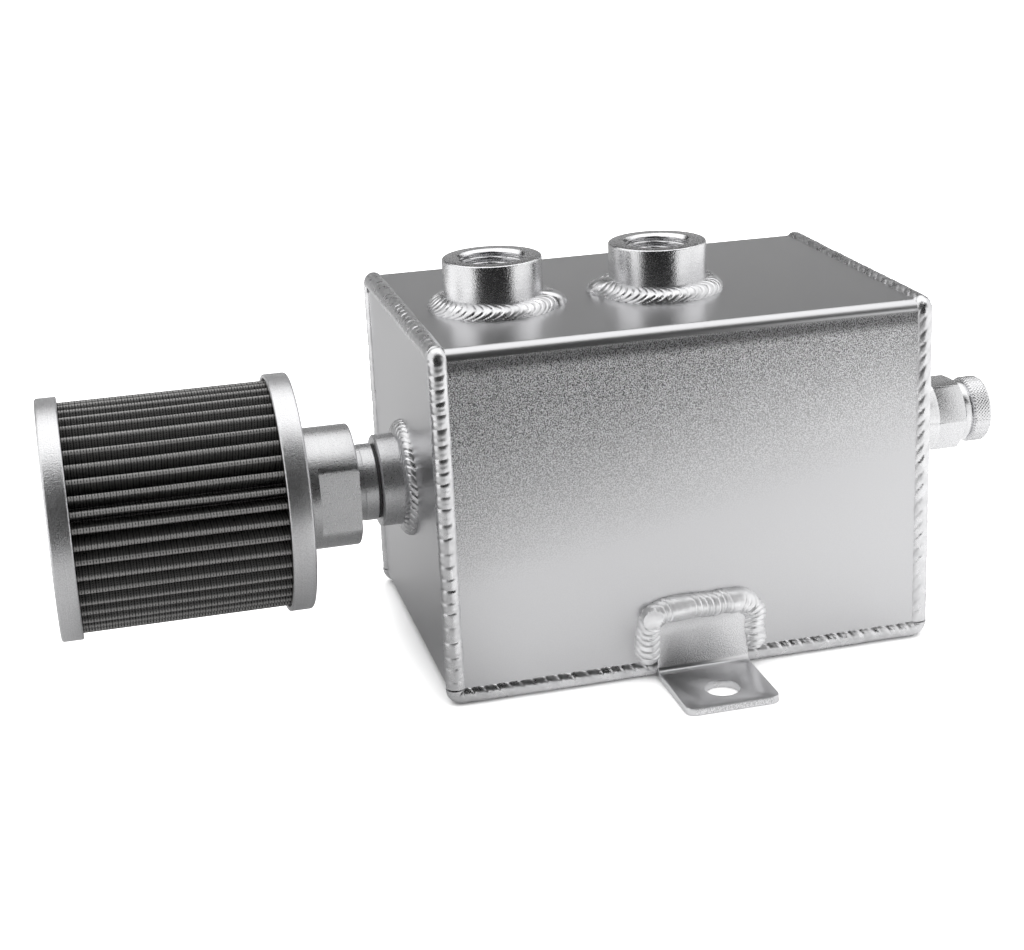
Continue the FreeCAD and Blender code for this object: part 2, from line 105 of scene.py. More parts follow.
def length_property(name, description, default, least, most):
    """Property for a length in metres."""
    return bpy.props.FloatProperty(
        name=name, description=description, default=default, min=least, max=most,
        subtype="DISTANCE", unit="LENGTH")


def angle_property(name, description, default):
    """Property for an angle in radians."""
    return bpy.props.FloatProperty(
        name=name, description=description, default=default, subtype="ANGLE", unit="ROTATION")


def colour_property(name, description, default):
    """Property for a colour."""
    return bpy.props.FloatVectorProperty(
        name=name, description=description, default=default, size=3, min=0, max=1, subtype="COLOR")


class WeldSettings(bpy.types.PropertyGroup):
    """Sizes of the ripples in the weld beads."""

    seam_pitch: length_property(
        "Corner ripple pitch", "Distance between the ripples of the corner beads", 0.0043, 0.001, 0.01)
    seam_depth: length_property(
        "Corner ripple depth", "Depth of the creases in the corner beads", 0.00042, 0.0, 0.001)
    ring_pitch: length_property(
        "Ring ripple pitch", "Distance between the ripples of the ring welds", 0.0026, 0.001, 0.01)
    ring_depth: length_property(
        "Ring ripple depth", "Depth of the creases in the ring welds", 0.00065, 0.0, 0.002)
    foot_pitch: length_property(
        "Foot ripple pitch", "Distance between the ripples of the bead round a foot", 0.0021, 0.001, 0.01)
    foot_depth: length_property(
        "Foot ripple depth", "Depth of the creases in the bead round a foot", 0.0008, 0.0, 0.002)
    stations: bpy.props.IntProperty(
        name="Steps in a ripple", description="Rows of faces along one ripple", default=12, min=4, max=16)


class FilterSettings(bpy.types.PropertyGroup):
    """Sizes of the pleated wire mesh."""

    pleats: bpy.props.IntProperty(
        name="Pleats", description="Pleats round the filter", default=45, min=12, max=90)
    crest_radius: length_property(
        "Crest radius", "Radius of the bend at the outside of a pleat", 0.0006, 0.0003, 0.002)
    root_radius: length_property(
        "Root radius", "Radius of the bend at the inside of a pleat", 0.0007, 0.0003, 0.002)
    outer_radius: length_property(
        "Outer radius", "Radius that the crests of the pleats reach", 0.0366, 0.02, 0.05)
    inner_radius: length_property(
        "Inner radius", "Radius that the roots of the pleats reach", 0.0262, 0.01, 0.04)
    thickness: length_property("Mesh thickness", "Thickness of the woven wire", 0.0006, 0.0002, 0.002)
    wire_pitch: length_property(
        "Wire pitch", "Distance between the wires of the mesh", 0.0009, 0.0002, 0.002)


class ThreadSettings(bpy.types.PropertyGroup):
    """Sizes of the hose threads and of the knurling."""

    pitch: length_property(
        "Thread pitch", "Pitch of the thread in the hose bosses", 0.0018143, 0.0005, 0.004)
    depth: length_property("Thread depth", "Depth of the thread in the hose bosses", 0.00085, 0.0, 0.002)
    knurl_pitch: length_property(
        "Knurl pitch", "Distance between the ridges of the cap's diamond knurl", 0.0012, 0.0005, 0.003)
    knurl_depth: length_property(
        "Knurl depth", "Depth of the grooves of the cap's diamond knurl", 0.00035, 0.0, 0.001)


class ColourSettings(bpy.types.PropertyGroup):
    """Colours of the can's metals, rubber and wire."""

    sheet: colour_property("Sheet", "Colour of the blasted and anodised sheet", (0.66, 0.66, 0.67))
    # The feet take this colour too, brighter than the sheet's, as painted light
    turned: colour_property("Turned metal", "Colour of the turned parts and the feet", (0.80, 0.80, 0.81))
    weld: colour_property("Weld", "Colour of the corner beads and the ring welds", (0.78, 0.78, 0.79))
    foot_weld: colour_property("Foot weld", "Colour of the thick beads round the feet", (0.93, 0.93, 0.94))
    wire: colour_property("Wire", "Colour of the pleated wire at its crests", (0.34, 0.335, 0.33))
    core: colour_property("Core", "Colour of the tube inside the pleats", (0.30, 0.30, 0.31))
    rubber: colour_property("Rubber", "Colour of the seals", (0.025, 0.025, 0.026))


class StudioSettings(bpy.types.PropertyGroup):
    """Camera and light."""

    eye: bpy.props.FloatVectorProperty(
        name="Camera place", description="Where the camera stands", subtype="XYZ", unit="LENGTH",
        size=3, default=(-0.1856, -0.5937, 0.2632))
    turn: angle_property("Camera turn", "Turn of the camera to the right of straight ahead", 0.2523)
    tilt: angle_property("Camera tilt", "How far the camera looks down", 0.3083)
    roll: angle_property("Camera roll", "Roll of the camera about its own axis", -0.0396)
    lens: bpy.props.FloatProperty(
        name="Focal length", description="Focal length in millimetres for a 36 mm sensor", default=67.78)
    shift: bpy.props.FloatVectorProperty(
        name="Lens shift", description="How far the picture was cropped off the lens's centre",
        size=2, default=(-0.0371, -0.0439))
    overhead: bpy.props.FloatProperty(
        name="Overhead lamp", description="Power of the large lamp above the can",
        default=3.6, min=0, subtype="POWER", unit="POWER")
    ambient: bpy.props.FloatProperty(
        name="Ambient light", description="Strength of the even light from all sides", default=1.24, min=0)


# Shader node groups and materials

# A noise texture's values lie between these, apart from rare ones
noise_low, noise_high = 0.3, 0.7

# Shade of the blasted grain in its pits and between them
grain_dark, grain_bright = 0.66, 1.34


def place(tree, kind, inputs=None, **settings):
    """New node in the tree with these settings and these values on its sockets."""
    node = tree.nodes.new(kind)
    for name, value in settings.items():
        setattr(node, name, value)
    for name, value in (inputs or {}).items():
        node.inputs[name].default_value = value
    return node


def link(tree, start, end):
    """Link from one (node, socket) to another."""
    tree.links.new(start[0].outputs[start[1]], end[0].inputs[end[1]])


def maths(tree, operation, first, second=None):
    """Math node on sockets or numbers."""
    node = place(tree, "ShaderNodeMath", operation=operation)
    for index, value in enumerate((first, second)):
        if isinstance(value, tuple):
            link(tree, value, (node, index))
        elif value is not None:
            node.inputs[index].default_value = value
    return (node, 0)


def split(tree, vector):
    """Node that takes a vector apart."""
    node = place(tree, "ShaderNodeSeparateXYZ")
    link(tree, vector, (node, "Vector"))
    return node


def distance_of(tree, first, second):
    """Length of the arm whose two parts these are."""
    squares = [maths(tree, "POWER", part, 2.0) for part in (first, second)]
    return maths(tree, "SQRT", maths(tree, "ADD", *squares))


def noise_of(tree, vector, scale, detail=2.0, roughness=0.5):
    """Noise texture's value, with its scale a number or a socket."""
    node = place(tree, "ShaderNodeTexNoise", {"Detail": detail, "Roughness": roughness})
    link(tree, vector, (node, "Vector"))
    if isinstance(scale, tuple):
        link(tree, scale, (node, "Scale"))
    else:
        node.inputs["Scale"].default_value = scale
    return (node, "Fac")


def spread(tree, value, low, high, to_low=0.0, to_high=1.0):
    """Value mapped from one range to another, clamped."""
    node = place(tree, "ShaderNodeMapRange", {
        "From Min": low, "From Max": high, "To Min": to_low, "To Max": to_high})
    link(tree, value, (node, "Value"))
    return (node, "Result")


def spread_noise(tree, value, to_low=0.0, to_high=1.0):
    """Noise mapped to a range, clamped."""
    return spread(tree, value, noise_low, noise_high, to_low, to_high)


def new_group(name, inputs, outputs):
    """Empty shader group with a vector, named numbers with their defaults, and named outputs."""
    group = bpy.data.node_groups.new(name, "ShaderNodeTree")
    group.interface.new_socket("Vector", in_out="INPUT", socket_type="NodeSocketVector")
    for label, default in inputs.items():
        socket = group.interface.new_socket(label, in_out="INPUT", socket_type="NodeSocketFloat")
        socket.default_value = default
    for label in outputs:
        group.interface.new_socket(label, in_out="OUTPUT", socket_type="NodeSocketFloat")
    return group, place(group, "NodeGroupInput"), place(group, "NodeGroupOutput")


def blasted_grain():
    """Fine pits of bead blasting under anodising, and the faint cloudiness of the batch."""
    group, start, end = new_group(
        "blasted_grain", {"Grain": 2300.0, "Cloud": 14.0}, ("Height", "Shade", "Sheen"))
    pits = noise_of(group, (start, "Vector"), (start, "Grain"), detail=1.0)
    cloud = noise_of(group, (start, "Vector"), (start, "Cloud"))
    deepest, highest = 0.35, 0.65
    fine = spread(group, pits, deepest, highest, grain_dark, grain_bright)
    link(group, spread_noise(group, pits), (end, "Height"))
    link(group, maths(group, "MULTIPLY", fine, spread_noise(group, cloud, 0.97, 1.03)), (end, "Shade"))
    link(group, spread_noise(group, pits, -0.06, 0.06), (end, "Sheen"))
    return group


def turning_marks():
    """Fine rings that the lathe leaves, about the X axis of the vector that it is given."""
    group, start, end = new_group("turning_marks", {"Rings": 3200.0}, ("Height", "Shade", "Radius"))
    parts = split(group, (start, "Vector"))
    radius = distance_of(group, (parts, "Y"), (parts, "Z"))
    along = place(group, "ShaderNodeCombineXYZ")
    link(group, (parts, "X"), (along, "X"))
    link(group, radius, (along, "Y"))
    rings = noise_of(group, (along, "Vector"), (start, "Rings"), roughness=0.7)
    link(group, spread_noise(group, rings), (end, "Height"))
    link(group, spread_noise(group, rings, 0.95, 1.04), (end, "Shade"))
    link(group, radius, (end, "Radius"))
    return group


def weld_skin():
    """Frozen skin of a weld bead: small dimples and brighter and duller patches."""
    group, start, end = new_group("weld_skin", {}, ("Height", "Shade", "Sheen"))
    dimple_scale, patch_scale = 1500.0, 260.0
    dimples = noise_of(group, (start, "Vector"), dimple_scale, detail=3.0, roughness=0.6)
    patches = noise_of(group, (start, "Vector"), patch_scale)
    link(group, spread_noise(group, dimples), (end, "Height"))
    link(group, spread_noise(group, patches, 0.9, 1.06), (end, "Shade"))
    link(group, spread_noise(group, patches, 0.08, -0.06), (end, "Sheen"))
    return group


def woven_wire():
    """Plain weave of round wires, from a map in wire pitches."""
    group, start, end = new_group("woven_wire", {}, ("Height", "Wire"))
    parts = split(group, (start, "Vector"))
    wire_side, wire_middle = 0.08, 0.34
    tops = []
    for axis, other, under, over in (("X", "Y", 0.2, 0.55), ("Y", "X", 1.0, 0.75)):
        across = maths(group, "PINGPONG", (parts, axis), 0.5)
        along = maths(group, "PINGPONG", (parts, other), 1.0)
        round_top = spread(group, across, wire_side, wire_middle)
        tops.append(maths(group, "MULTIPLY", round_top, spread(group, along, 0.0, 1.0, under, over)))
    top = maths(group, "MAXIMUM", *tops)
    hole, metal = 0.05, 0.6
    link(group, top, (end, "Height"))
    link(group, spread(group, top, hole, metal), (end, "Wire"))
    return group


def effect(tree, maker, vector, **values):
    """One of the shared effects, made when it is first asked for, and placed in a material."""
    group = bpy.data.node_groups.get(maker.__name__) or maker()
    node = place(tree, "ShaderNodeGroup", values, node_tree=group)
    link(tree, vector, (node, "Vector"))
    return node


def new_material(name, metallic=0.0):
    """Material with only a Principled shader: its tree, its shader and its coordinates."""
    material = bpy.data.materials.new(name)
    material.use_nodes = True
    tree = material.node_tree
    shader = tree.nodes["Principled BSDF"]
    shader.inputs["Metallic"].default_value = metallic
    return material, tree, shader, place(tree, "ShaderNodeTexCoord")


def tinted(tree, shader, colour, *shades):
    """Base colour from one colour and the shades that vary over the surface."""
    product = shades[0]
    for shade in shades[1:]:
        product = maths(tree, "MULTIPLY", product, shade)
    mix = place(tree, "ShaderNodeMix", {"Factor": 1.0}, data_type="RGBA", blend_type="MULTIPLY")
    mix.inputs["A"].default_value = (*colour, 1)
    link(tree, product, (mix, "B"))
    link(tree, (mix, "Result"), (shader, "Base Color"))


def roughened(tree, shader, sheen, roughness):
    """Roughness that varies over the surface, about a number or a socket."""
    link(tree, maths(tree, "ADD", sheen, roughness), (shader, "Roughness"))


def bumped(tree, shader, *layers):
    """Normal from heights laid over each other, each with its depth in metres."""
    normal = None
    for height, depth in layers:
        bump = place(tree, "ShaderNodeBump", {"Strength": 1.0, "Distance": depth})
        link(tree, height, (bump, "Height"))
        if normal:
            link(tree, normal, (bump, "Normal"))
        normal = (bump, "Normal")
    link(tree, normal, (shader, "Normal"))


def blasted_metal(name, colour, smooth, grainy):
    """Blasted and anodised sheet, smooth at one height of its front and back and grainy at the other;
    painted shade darkens those faces towards the top left, and a painted dark band lies below the top fold.
    """
    squarely, quite_squarely = 0.96, 0.999
    slant = 0.2
    finest, coarsest = 0.04, 2.3
    unshaded_height, fully_shaded_height = 0.068, 0.108
    least_painted_shade, most_painted_shade = -0.02, 0.27
    line_bottom, line_top, painted_band_shade = cover_high.z - 0.0085, cover_high.z - 0.006, 0.45
    pit_depth = 0.00009
    material, tree, shader, coordinates = new_material(name, metallic=1.0)
    grain = effect(tree, blasted_grain, (coordinates, "Object"), Grain=2700.0)
    facing = split(tree, (coordinates, "Normal"))
    broad = spread(tree, maths(tree, "ABSOLUTE", (facing, "Y")), squarely, quite_squarely)
    spot = split(tree, (coordinates, "Object"))
    height = maths(tree, "SUBTRACT", (spot, "Z"), maths(tree, "MULTIPLY", (spot, "X"), slant))
    coarse = maths(tree, "MULTIPLY", broad, spread(tree, height, smooth, grainy, finest, coarsest))
    change = maths(tree, "MULTIPLY", maths(tree, "SUBTRACT", (grain, "Shade"), 1.0), coarse)
    # Painted shade: the front and back faces darken towards the top left and lighten a little lower down
    painted_shade = spread(tree, height, unshaded_height, fully_shaded_height, least_painted_shade, most_painted_shade)
    # Painted dark reflection: a band on the front and back faces just below the top fold
    below_fold = spread(tree, (spot, "Z"), line_bottom, line_top, 0.0, painted_band_shade)
    painted_shade_and_band = maths(tree, "MULTIPLY", broad, maths(tree, "ADD", painted_shade, below_fold))
    tinted(tree, shader, colour, maths(tree, "ADD", change, 1.0), maths(tree, "SUBTRACT", 1.0, painted_shade_and_band))
    roughness = spread(tree, broad, 0.0, 1.0, 0.3, 0.36)
    roughened(tree, shader, maths(tree, "MULTIPLY", (grain, "Sheen"), coarse), roughness)
    bumped(tree, shader, (maths(tree, "MULTIPLY", (grain, "Height"), coarse), pit_depth))
    return material


def blasted_sheet():
    """Metal of the tank's sheets."""
    smooth_height, grainy_height = 0.05, 0.108
    return blasted_metal(
        "blasted_sheet", bpy.context.scene.can_colours.sheet, smooth_height, grainy_height)


def foot_sheet():
    """Metal of the two feet, which are grainy at the bottom, made brighter than the sheet with the turned
    colour as painted light.
    """
    smooth_height, grainy_height = 0.027, -0.05
    return blasted_metal("foot_sheet", bpy.context.scene.can_colours.turned, smooth_height, grainy_height)


def turned_metal(name, shade, roughness, pit_depth, centre=common_axis, upright=False, bore=0.0):
    """Turned part, lightly blasted outside its bore, with its axis along X or upright through centre."""
    mark_depth = 0.000004
    bore_edge = 0.0004
    material, tree, shader, coordinates = new_material(name, metallic=1.0)
    mapping = place(tree, "ShaderNodeMapping", {"Location": -centre}, vector_type="POINT")
    link(tree, (coordinates, "Object"), (mapping, "Vector"))
    if upright:
        turn = place(tree, "ShaderNodeMapping", {"Rotation": (0, math.pi / 2, 0)}, vector_type="POINT")
        link(tree, (mapping, "Vector"), (turn, "Vector"))
        mapping = turn
    marks = effect(tree, turning_marks, (mapping, "Vector"))
    grain = effect(tree, blasted_grain, (coordinates, "Object"), Grain=2500.0)
    colour = [value * shade for value in bpy.context.scene.can_colours.turned]
    pitted = spread(tree, (grain, "Shade"), grain_dark, grain_bright, 0.92, 1.08)
    tinted(tree, shader, colour, (marks, "Shade"), pitted)
    roughened(tree, shader, (grain, "Sheen"), roughness)
    outside = spread(tree, (marks, "Radius"), bore, bore + bore_edge)
    pits = maths(tree, "MULTIPLY", (grain, "Height"), outside)
    bumped(tree, shader, ((marks, "Height"), mark_depth), (pits, pit_depth))
    return material


def boss_metal(node, centre):
    """Metal of a hose boss, whose axis is upright."""
    bore = port_radius + bpy.context.scene.can_thread.depth
    return turned_metal(
        node + "_metal", shade=1.0, roughness=0.22, pit_depth=0.000024,
        centre=centre, upright=True, bore=bore)


def turned_fitting():
    """Rougher metal of the breather's stub and neck, its colour darkened to 0.84 of the turned colour as
    painted shade.
    """
    return turned_metal("turned_fitting", shade=0.84, roughness=0.32, pit_depth=0.00003)


def drain_metal():
    """Metal of the drain's pieces."""
    return turned_metal("drain_metal", shade=1.0, roughness=0.26, pit_depth=0.00001)


def filter_cup_metal():
    """More strongly blasted metal of the filter's two cups."""
    return turned_metal("filter_cup_metal", shade=1.0, roughness=0.35, pit_depth=0.00004)


def bead_metal(name, colour, roughness, metallic):
    """Frozen weld of this colour; a metallic value under 1 stands for a film of oxide."""
    dimple_depth = 0.000012
    material, tree, shader, coordinates = new_material(name, metallic)
    skin = effect(tree, weld_skin, (coordinates, "Object"))
    tinted(tree, shader, colour, (skin, "Shade"))
    roughened(tree, shader, (skin, "Sheen"), roughness)
    bumped(tree, shader, ((skin, "Height"), dimple_depth))
    return material


def weld_metal():
    """Metal of the corner beads and the ring welds."""
    return bead_metal("weld_metal", bpy.context.scene.can_colours.weld, roughness=0.29, metallic=1.0)


def foot_weld_metal():
    """Paler and rougher metal of the thick beads round the feet."""
    colour = bpy.context.scene.can_colours.foot_weld
    return bead_metal("foot_weld_metal", colour, roughness=0.4, metallic=0.75)


def pleated_wire():
    """Woven aluminium wire with a dark coat, with painted shade in the folds and a painted highlight at the
    crests.
    """
    settings = bpy.context.scene.can_filter
    crest_highlight_start = settings.outer_radius - 0.0009
    fold_shade_end = settings.outer_radius - 0.002
    wire_height = 0.00012
    material, tree, shader, coordinates = new_material("pleated_wire", metallic=0.7)
    scaled = place(tree, "ShaderNodeMapping", {"Scale": [1 / settings.wire_pitch] * 3}, vector_type="POINT")
    link(tree, (coordinates, "UV"), (scaled, "Vector"))
    weave = effect(tree, woven_wire, (scaled, "Vector"))
    parts = split(tree, (coordinates, "Object"))
    height = maths(tree, "SUBTRACT", (parts, "Z"), axis_height)
    radius = distance_of(tree, (parts, "Y"), height)
    # Painted highlight: the wire lightens towards the crests
    painted_crest_highlight = spread(tree, radius, crest_highlight_start, settings.outer_radius, 0.6, 1.0)
    # Painted shade: the wire darkens deep in the folds
    painted_fold_shade = spread(tree, radius, settings.inner_radius, fold_shade_end, 0.7, 1.0)
    gap = spread(tree, (weave, "Wire"), 0.0, 1.0, 0.1, 1.0)
    tinted(tree, shader, bpy.context.scene.can_colours.wire, maths(tree, "MULTIPLY", painted_crest_highlight, painted_fold_shade), gap)
    shader.inputs["Roughness"].default_value = 0.5
    bumped(tree, shader, ((weave, "Height"), wire_height))
    return material


def core_metal():
    """Plain pressed sheet of the tube inside the pleats."""
    material, tree, shader, coordinates = new_material("core_metal", metallic=1.0)
    grain = effect(tree, blasted_grain, (coordinates, "Object"), Grain=900.0, Cloud=40.0)
    tinted(tree, shader, bpy.context.scene.can_colours.core, (grain, "Shade"))
    roughened(tree, shader, (grain, "Sheen"), 0.45)
    return material


def seal_rubber():
    """Moulded rubber, matt black."""
    pit_depth = 0.00001
    material, tree, shader, coordinates = new_material("seal_rubber")
    grain = effect(tree, blasted_grain, (coordinates, "Object"), Grain=1600.0, Cloud=90.0)
    tinted(tree, shader, bpy.context.scene.can_colours.rubber, (grain, "Shade"))
    roughened(tree, shader, (grain, "Sheen"), 0.55)
    bumped(tree, shader, ((grain, "Height"), pit_depth))
    return material


def finish(maker):
    """The material that a function makes, made when it is first asked for."""
    return bpy.data.materials.get(maker.__name__) or maker()


# Modelling

# How close vertices lie that are one
together = 1e-7


def new_piece(node, made, bm, material, sharp=math.radians(32)):
    """Object from a finished bmesh, which stands for a CAD node and moves with it."""
    name = node + "_" + made
    mesh = bpy.data.meshes.new(name)
    bm.to_mesh(mesh)
    bm.free()
    for polygon in mesh.polygons:
        polygon.use_smooth = True
    mesh.set_sharp_from_angle(angle=sharp)
    piece = bpy.data.objects.new(name, mesh)
    bpy.context.scene.collection.objects.link(piece)
    piece.data.materials.append(material)
    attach(piece, frame["nodes"][node]["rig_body"])
    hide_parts(node)
    return piece


def dressed(node, material):
    """A CAD node that keeps its shape and gets a better material."""
    mesh = frame["nodes"][node].data
    mesh.materials.clear()
    mesh.materials.append(material)


def softened(node, width, turn=math.radians(35)):
    """Copy of a CAD node's mesh with its edges broken by a narrow round."""
    bm = bmesh.new()
    bm.from_mesh(frame["nodes"][node].data)
    bmesh.ops.remove_doubles(bm, verts=bm.verts, dist=1e-6)
    bmesh.ops.dissolve_limit(bm, angle_limit=math.radians(0.5), verts=bm.verts, edges=bm.edges)
    edges = [edge for edge in bm.edges if len(edge.link_faces) == 2 and edge.calc_face_angle() > turn]
    bmesh.ops.bevel(
        bm, geom=edges, offset=width, offset_type="OFFSET", segments=2, profile=0.5,
        affect="EDGES", clamp_overlap=True, material=-1)
    return bm


def rounded(corners, steps=4):
    """Closed outline of points from (a, b, radius) corners, with each corner rounded by its radius."""
    points = []
    count = len(corners)
    for index, (a, b, radius) in enumerate(corners):
        corner = Vector((a, b))
        if radius <= 0:
            points.append(corner)
            continue
        before = (Vector(corners[index - 1][:2]) - corner).normalized()
        after = (Vector(corners[(index + 1) % count][:2]) - corner).normalized()
        half_angle = before.angle(after) / 2
        setback = radius / math.tan(half_angle)
        middle = corner + (before + after).normalized() * (radius / math.sin(half_angle))
        start = corner + before * setback - middle
        turn = start.angle_signed(corner + after * setback - middle)
        for step in range(steps + 1):
            spoke = start.copy()
            spoke.rotate(Matrix.Rotation(-turn * step / steps, 2))
            points.append(middle + spoke)
    return points


def turned(corners, centre=common_axis, upright=False, steps=128):
    """Solid turned about the common axis, or an upright one, from (along, radius, rounding) corners."""
    bm = bmesh.new()
    ring = []
    for along, radius in rounded(corners):
        point = Vector((radius, 0, along)) if upright else Vector((along, 0, radius))
        ring.append(bm.verts.new(point + centre))
    edges = [bm.edges.new((vertex, ring[index - 1])) for index, vertex in enumerate(ring)]
    axis = (0, 0, 1) if upright else (1, 0, 0)
    bmesh.ops.spin(
        bm, geom=ring + edges, cent=centre, axis=axis, angle=2 * math.pi, steps=steps,
        use_merge=True, use_duplicate=False)
    bmesh.ops.remove_doubles(bm, verts=bm.verts, dist=together)
    bmesh.ops.recalc_face_normals(bm, faces=bm.faces)
    return bm


def smooth_step(low, high, value):
    """Smooth change from 0 at low to 1 at high, whichever of the two is larger."""
    share = max(0.0, min(1.0, (value - low) / (high - low)))
    return share * share * (3 - 2 * share)


def zigzag(turns):
    """From 0 at every whole turn to 1 half-way between."""
    return 1 - abs(2 * (turns - math.floor(turns)) - 1)


# A place on a weld's path: its corner line, the two directions of its section, and how far the torch is
Station = namedtuple("Station", "origin across outward travelled")

# Form of the ripples: distance between them, depth of a crease, how far their tip runs ahead, where on the
# crown the tip lies (-1 to 1), how much they lean, how pointed they are (1 is a chevron, 2 a round arc),
# where on the crown they begin and end, how clear they are here, and a number that sets their unevenness
Ripple = namedtuple("Ripple", "pitch depth bow tip lean point low high clear seed")

# Columns of faces over the crown of a bead
bead_columns = 22

# Unevenness of a bead laid by hand, each with how fast it changes and how strong it is
beat_rate, beat_share = 70, 0.45
tremor_rate, tremor_share = 420, 0.06
swell_rate, swell_share = 150, 0.35
strength_rate, usual_strength, strength_share = 7.3, 0.75, 0.6

# Without a seed, the path of a foot's bead would wander differently each time
wander_seed = 3

# One ripple: width and roundness of its crease, fine lines in it, and what each gives to its depth
crease_width, crease_round, fine_lines = 0.22, 1.6, 3
crease_share, slope_share, fine_share = 0.68, 0.22, 0.1

# Share of the crown over which the ripples fade out
ripple_fade = 0.3

# How far behind its corner line a bead may reach in a fold
fold_reach = inner_fold * 1.02

# How far in front of its corner line a bead's length round a fold is measured
seam_reach = seam_radius * 0.8


def channel_stations(near, far, closed, open_end, fold, spot, across, step, reach):
    """Stations along the edge of a folded sheet: up one side, round both folds and down the other side."""
    a = math.copysign(1, far - near)
    b = math.copysign(1, closed - open_end)
    leg = abs(closed - open_end) - fold
    run = abs(far - near) - 2 * fold
    outer = fold + reach
    spots = []
    travelled = 0.0

    def straight(start, direction, outward, length):
        nonlocal travelled
        count = max(1, round(length / step))
        for index in range(count):
            done = length * index / count
            spots.append((start + direction * done, outward, travelled + done))
        travelled += length

    def curved(centre, first, last):
        nonlocal travelled
        length = outer * math.pi / 2
        count = max(2, round(length / step))
        for index in range(count):
            angle = math.pi / 2 * index / count
            outward = first * math.cos(angle) + last * math.sin(angle)
            spots.append((centre + outward * fold, outward, travelled + length * index / count))
        travelled += length

    left, right, top = Vector((-a, 0)), Vector((a, 0)), Vector((0, b))
    straight(Vector((near, open_end)), top, left, leg)
    curved(Vector((near + a * fold, closed - b * fold)), left, top)
    straight(Vector((near + a * fold, closed)), right, top, run)
    curved(Vector((far - a * fold, closed - b * fold)), top, right)
    straight(Vector((far, closed - b * fold)), -top, right, leg)
    spots.append((Vector((far, open_end)), right, travelled))
    zero = spot(0, 0)
    return [
        Station(spot(*place_2d), across, (spot(*outward) - zero).normalized(), distance)
        for place_2d, outward, distance in spots
    ]


def ring_stations(centre, axis, side, radius, width, pitch, per_ripple):
    """Stations round a turned piece that stands on a sheet, with a whole number of ripples."""
    length = 2 * math.pi * (radius + width / 2)
    ripples = round(length / pitch)
    count = ripples * per_ripple
    stations = []
    for index in range(count + 1):
        across = Matrix.Rotation(2 * math.pi * index / count, 3, axis) @ side
        stations.append(Station(centre + across * radius, across, axis, ripples * pitch * index / count))
    return stations


def crease(ripple, station, crown, point):
    """How deep the bead lies below its crest here, as a share of the ripple's depth."""
    lead = ripple.bow(station) * (1 - abs(crown - ripple.tip) ** ripple.point)
    beat = beat_share * noise.noise(Vector((station.travelled * beat_rate, ripple.seed, 0)))
    tremor = tremor_share * noise.noise(point * tremor_rate + Vector((ripple.seed, 0, 0)))
    turns = station.travelled / ripple.pitch - lead + ripple.lean * crown + beat + tremor
    puddle = turns - math.floor(turns)
    groove = max(0.0, 1 - min(puddle, 1 - puddle) / crease_width) ** crease_round
    fine = (1 - math.cos(puddle * fine_lines * 2 * math.pi)) / 2
    luck = noise.noise(Vector((math.floor(turns) * strength_rate, 0, ripple.seed)))
    swell = swell_share * noise.noise(point * swell_rate + Vector((0, ripple.seed, 0)))
    begun = smooth_step(ripple.low - ripple_fade, ripple.low, crown)
    ended = smooth_step(ripple.high, ripple.high + ripple_fade, crown)
    depth = crease_share * groove + slope_share * (1 - puddle) + fine_share * fine
    strength = (usual_strength + strength_share * luck) * begun * (1 - ended) * ripple.clear(station)
    return depth * strength + swell


def bead(stations, crown, closing, ripple, shaped, ring=False):
    """Rippled bead along stations.

    crown gives a point and a direction in the section for -1 to 1, closing holds the points behind it, and
    shaped gives each point its last place.
    """
    rows = len(stations) - 1
    around = bead_columns + len(closing) + 1
    bm = bmesh.new()
    bmesh.ops.create_grid(bm, x_segments=rows, y_segments=around, size=1)
    for vertex in bm.verts:
        station = stations[round((vertex.co.x + 1) / 2 * rows)]
        column = round((vertex.co.y + 1) / 2 * around) % around
        if column <= bead_columns:
            share = 2 * column / bead_columns - 1
            u, v, nu, nv = crown(share)
            point = station.origin + station.across * u + station.outward * v
            sink = crease(ripple, station, share, point) * ripple.depth
            point -= (station.across * nu + station.outward * nv) * sink
        else:
            u, v = closing[column - bead_columns - 1]
            point = station.origin + station.across * u + station.outward * v
        vertex.co = shaped(point, station)
    bmesh.ops.remove_doubles(bm, verts=bm.verts, dist=1e-6)
    if not ring:
        bmesh.ops.holes_fill(bm, edges=[edge for edge in bm.edges if edge.is_boundary], sides=0)
    bmesh.ops.recalc_face_normals(bm, faces=bm.faces)
    return bm


def round_crown(radius, first, last, turn=0.0):
    """Crown that is part of a circle about the corner line, turned back by an angle."""
    def crown(share):
        angle = first + (last - first) * (share + 1) / 2 - turn
        return radius * math.cos(angle), radius * math.sin(angle), math.cos(angle), math.sin(angle)
    return crown


def fillet_crown(width, height):
    """Crown of a fillet weld, from the sheet up to the turned piece."""
    toe = math.radians(4)

    def crown(share):
        angle = -toe + (math.pi / 2 + 2 * toe) * (share + 1) / 2
        normal = Vector((math.cos(angle) / width, math.sin(angle) / height)).normalized()
        return width * math.cos(angle), height * math.sin(angle), normal.x, normal.y
    return crown


def steady(value):
    """Value that is the same all along a bead."""
    return lambda station: value


def on_xz(y):
    """Place function for an outline in the plane at this y."""
    return lambda a, b: Vector((a, y, b))


def on_yz(x):
    """Place function for an outline in the plane at this x."""
    return lambda a, b: Vector((x, a, b))


def off_fold_centre(point, station):
    """Keeps the toes of a corner bead from crossing the centre of a fold."""
    inward = (station.origin - point).dot(station.outward)
    return point + station.outward * max(0.0, inward - fold_reach)


def make_corner_bead(node, stations, ripple, shaped):
    """Bead in the open corner between two sheets, from the face of one to the face of the other."""
    overlap = math.radians(3)
    toe = math.asin(sheet / seam_radius)
    crown = round_crown(seam_radius, toe - math.pi / 2 - overlap, math.pi - toe + overlap)
    closing = ((-0.0022, 0.0011), (0.0003, 0.0003), (0.0011, -0.0022))
    new_piece(node, "bead", bead(stations, crown, closing, ripple, shaped), finish(weld_metal))


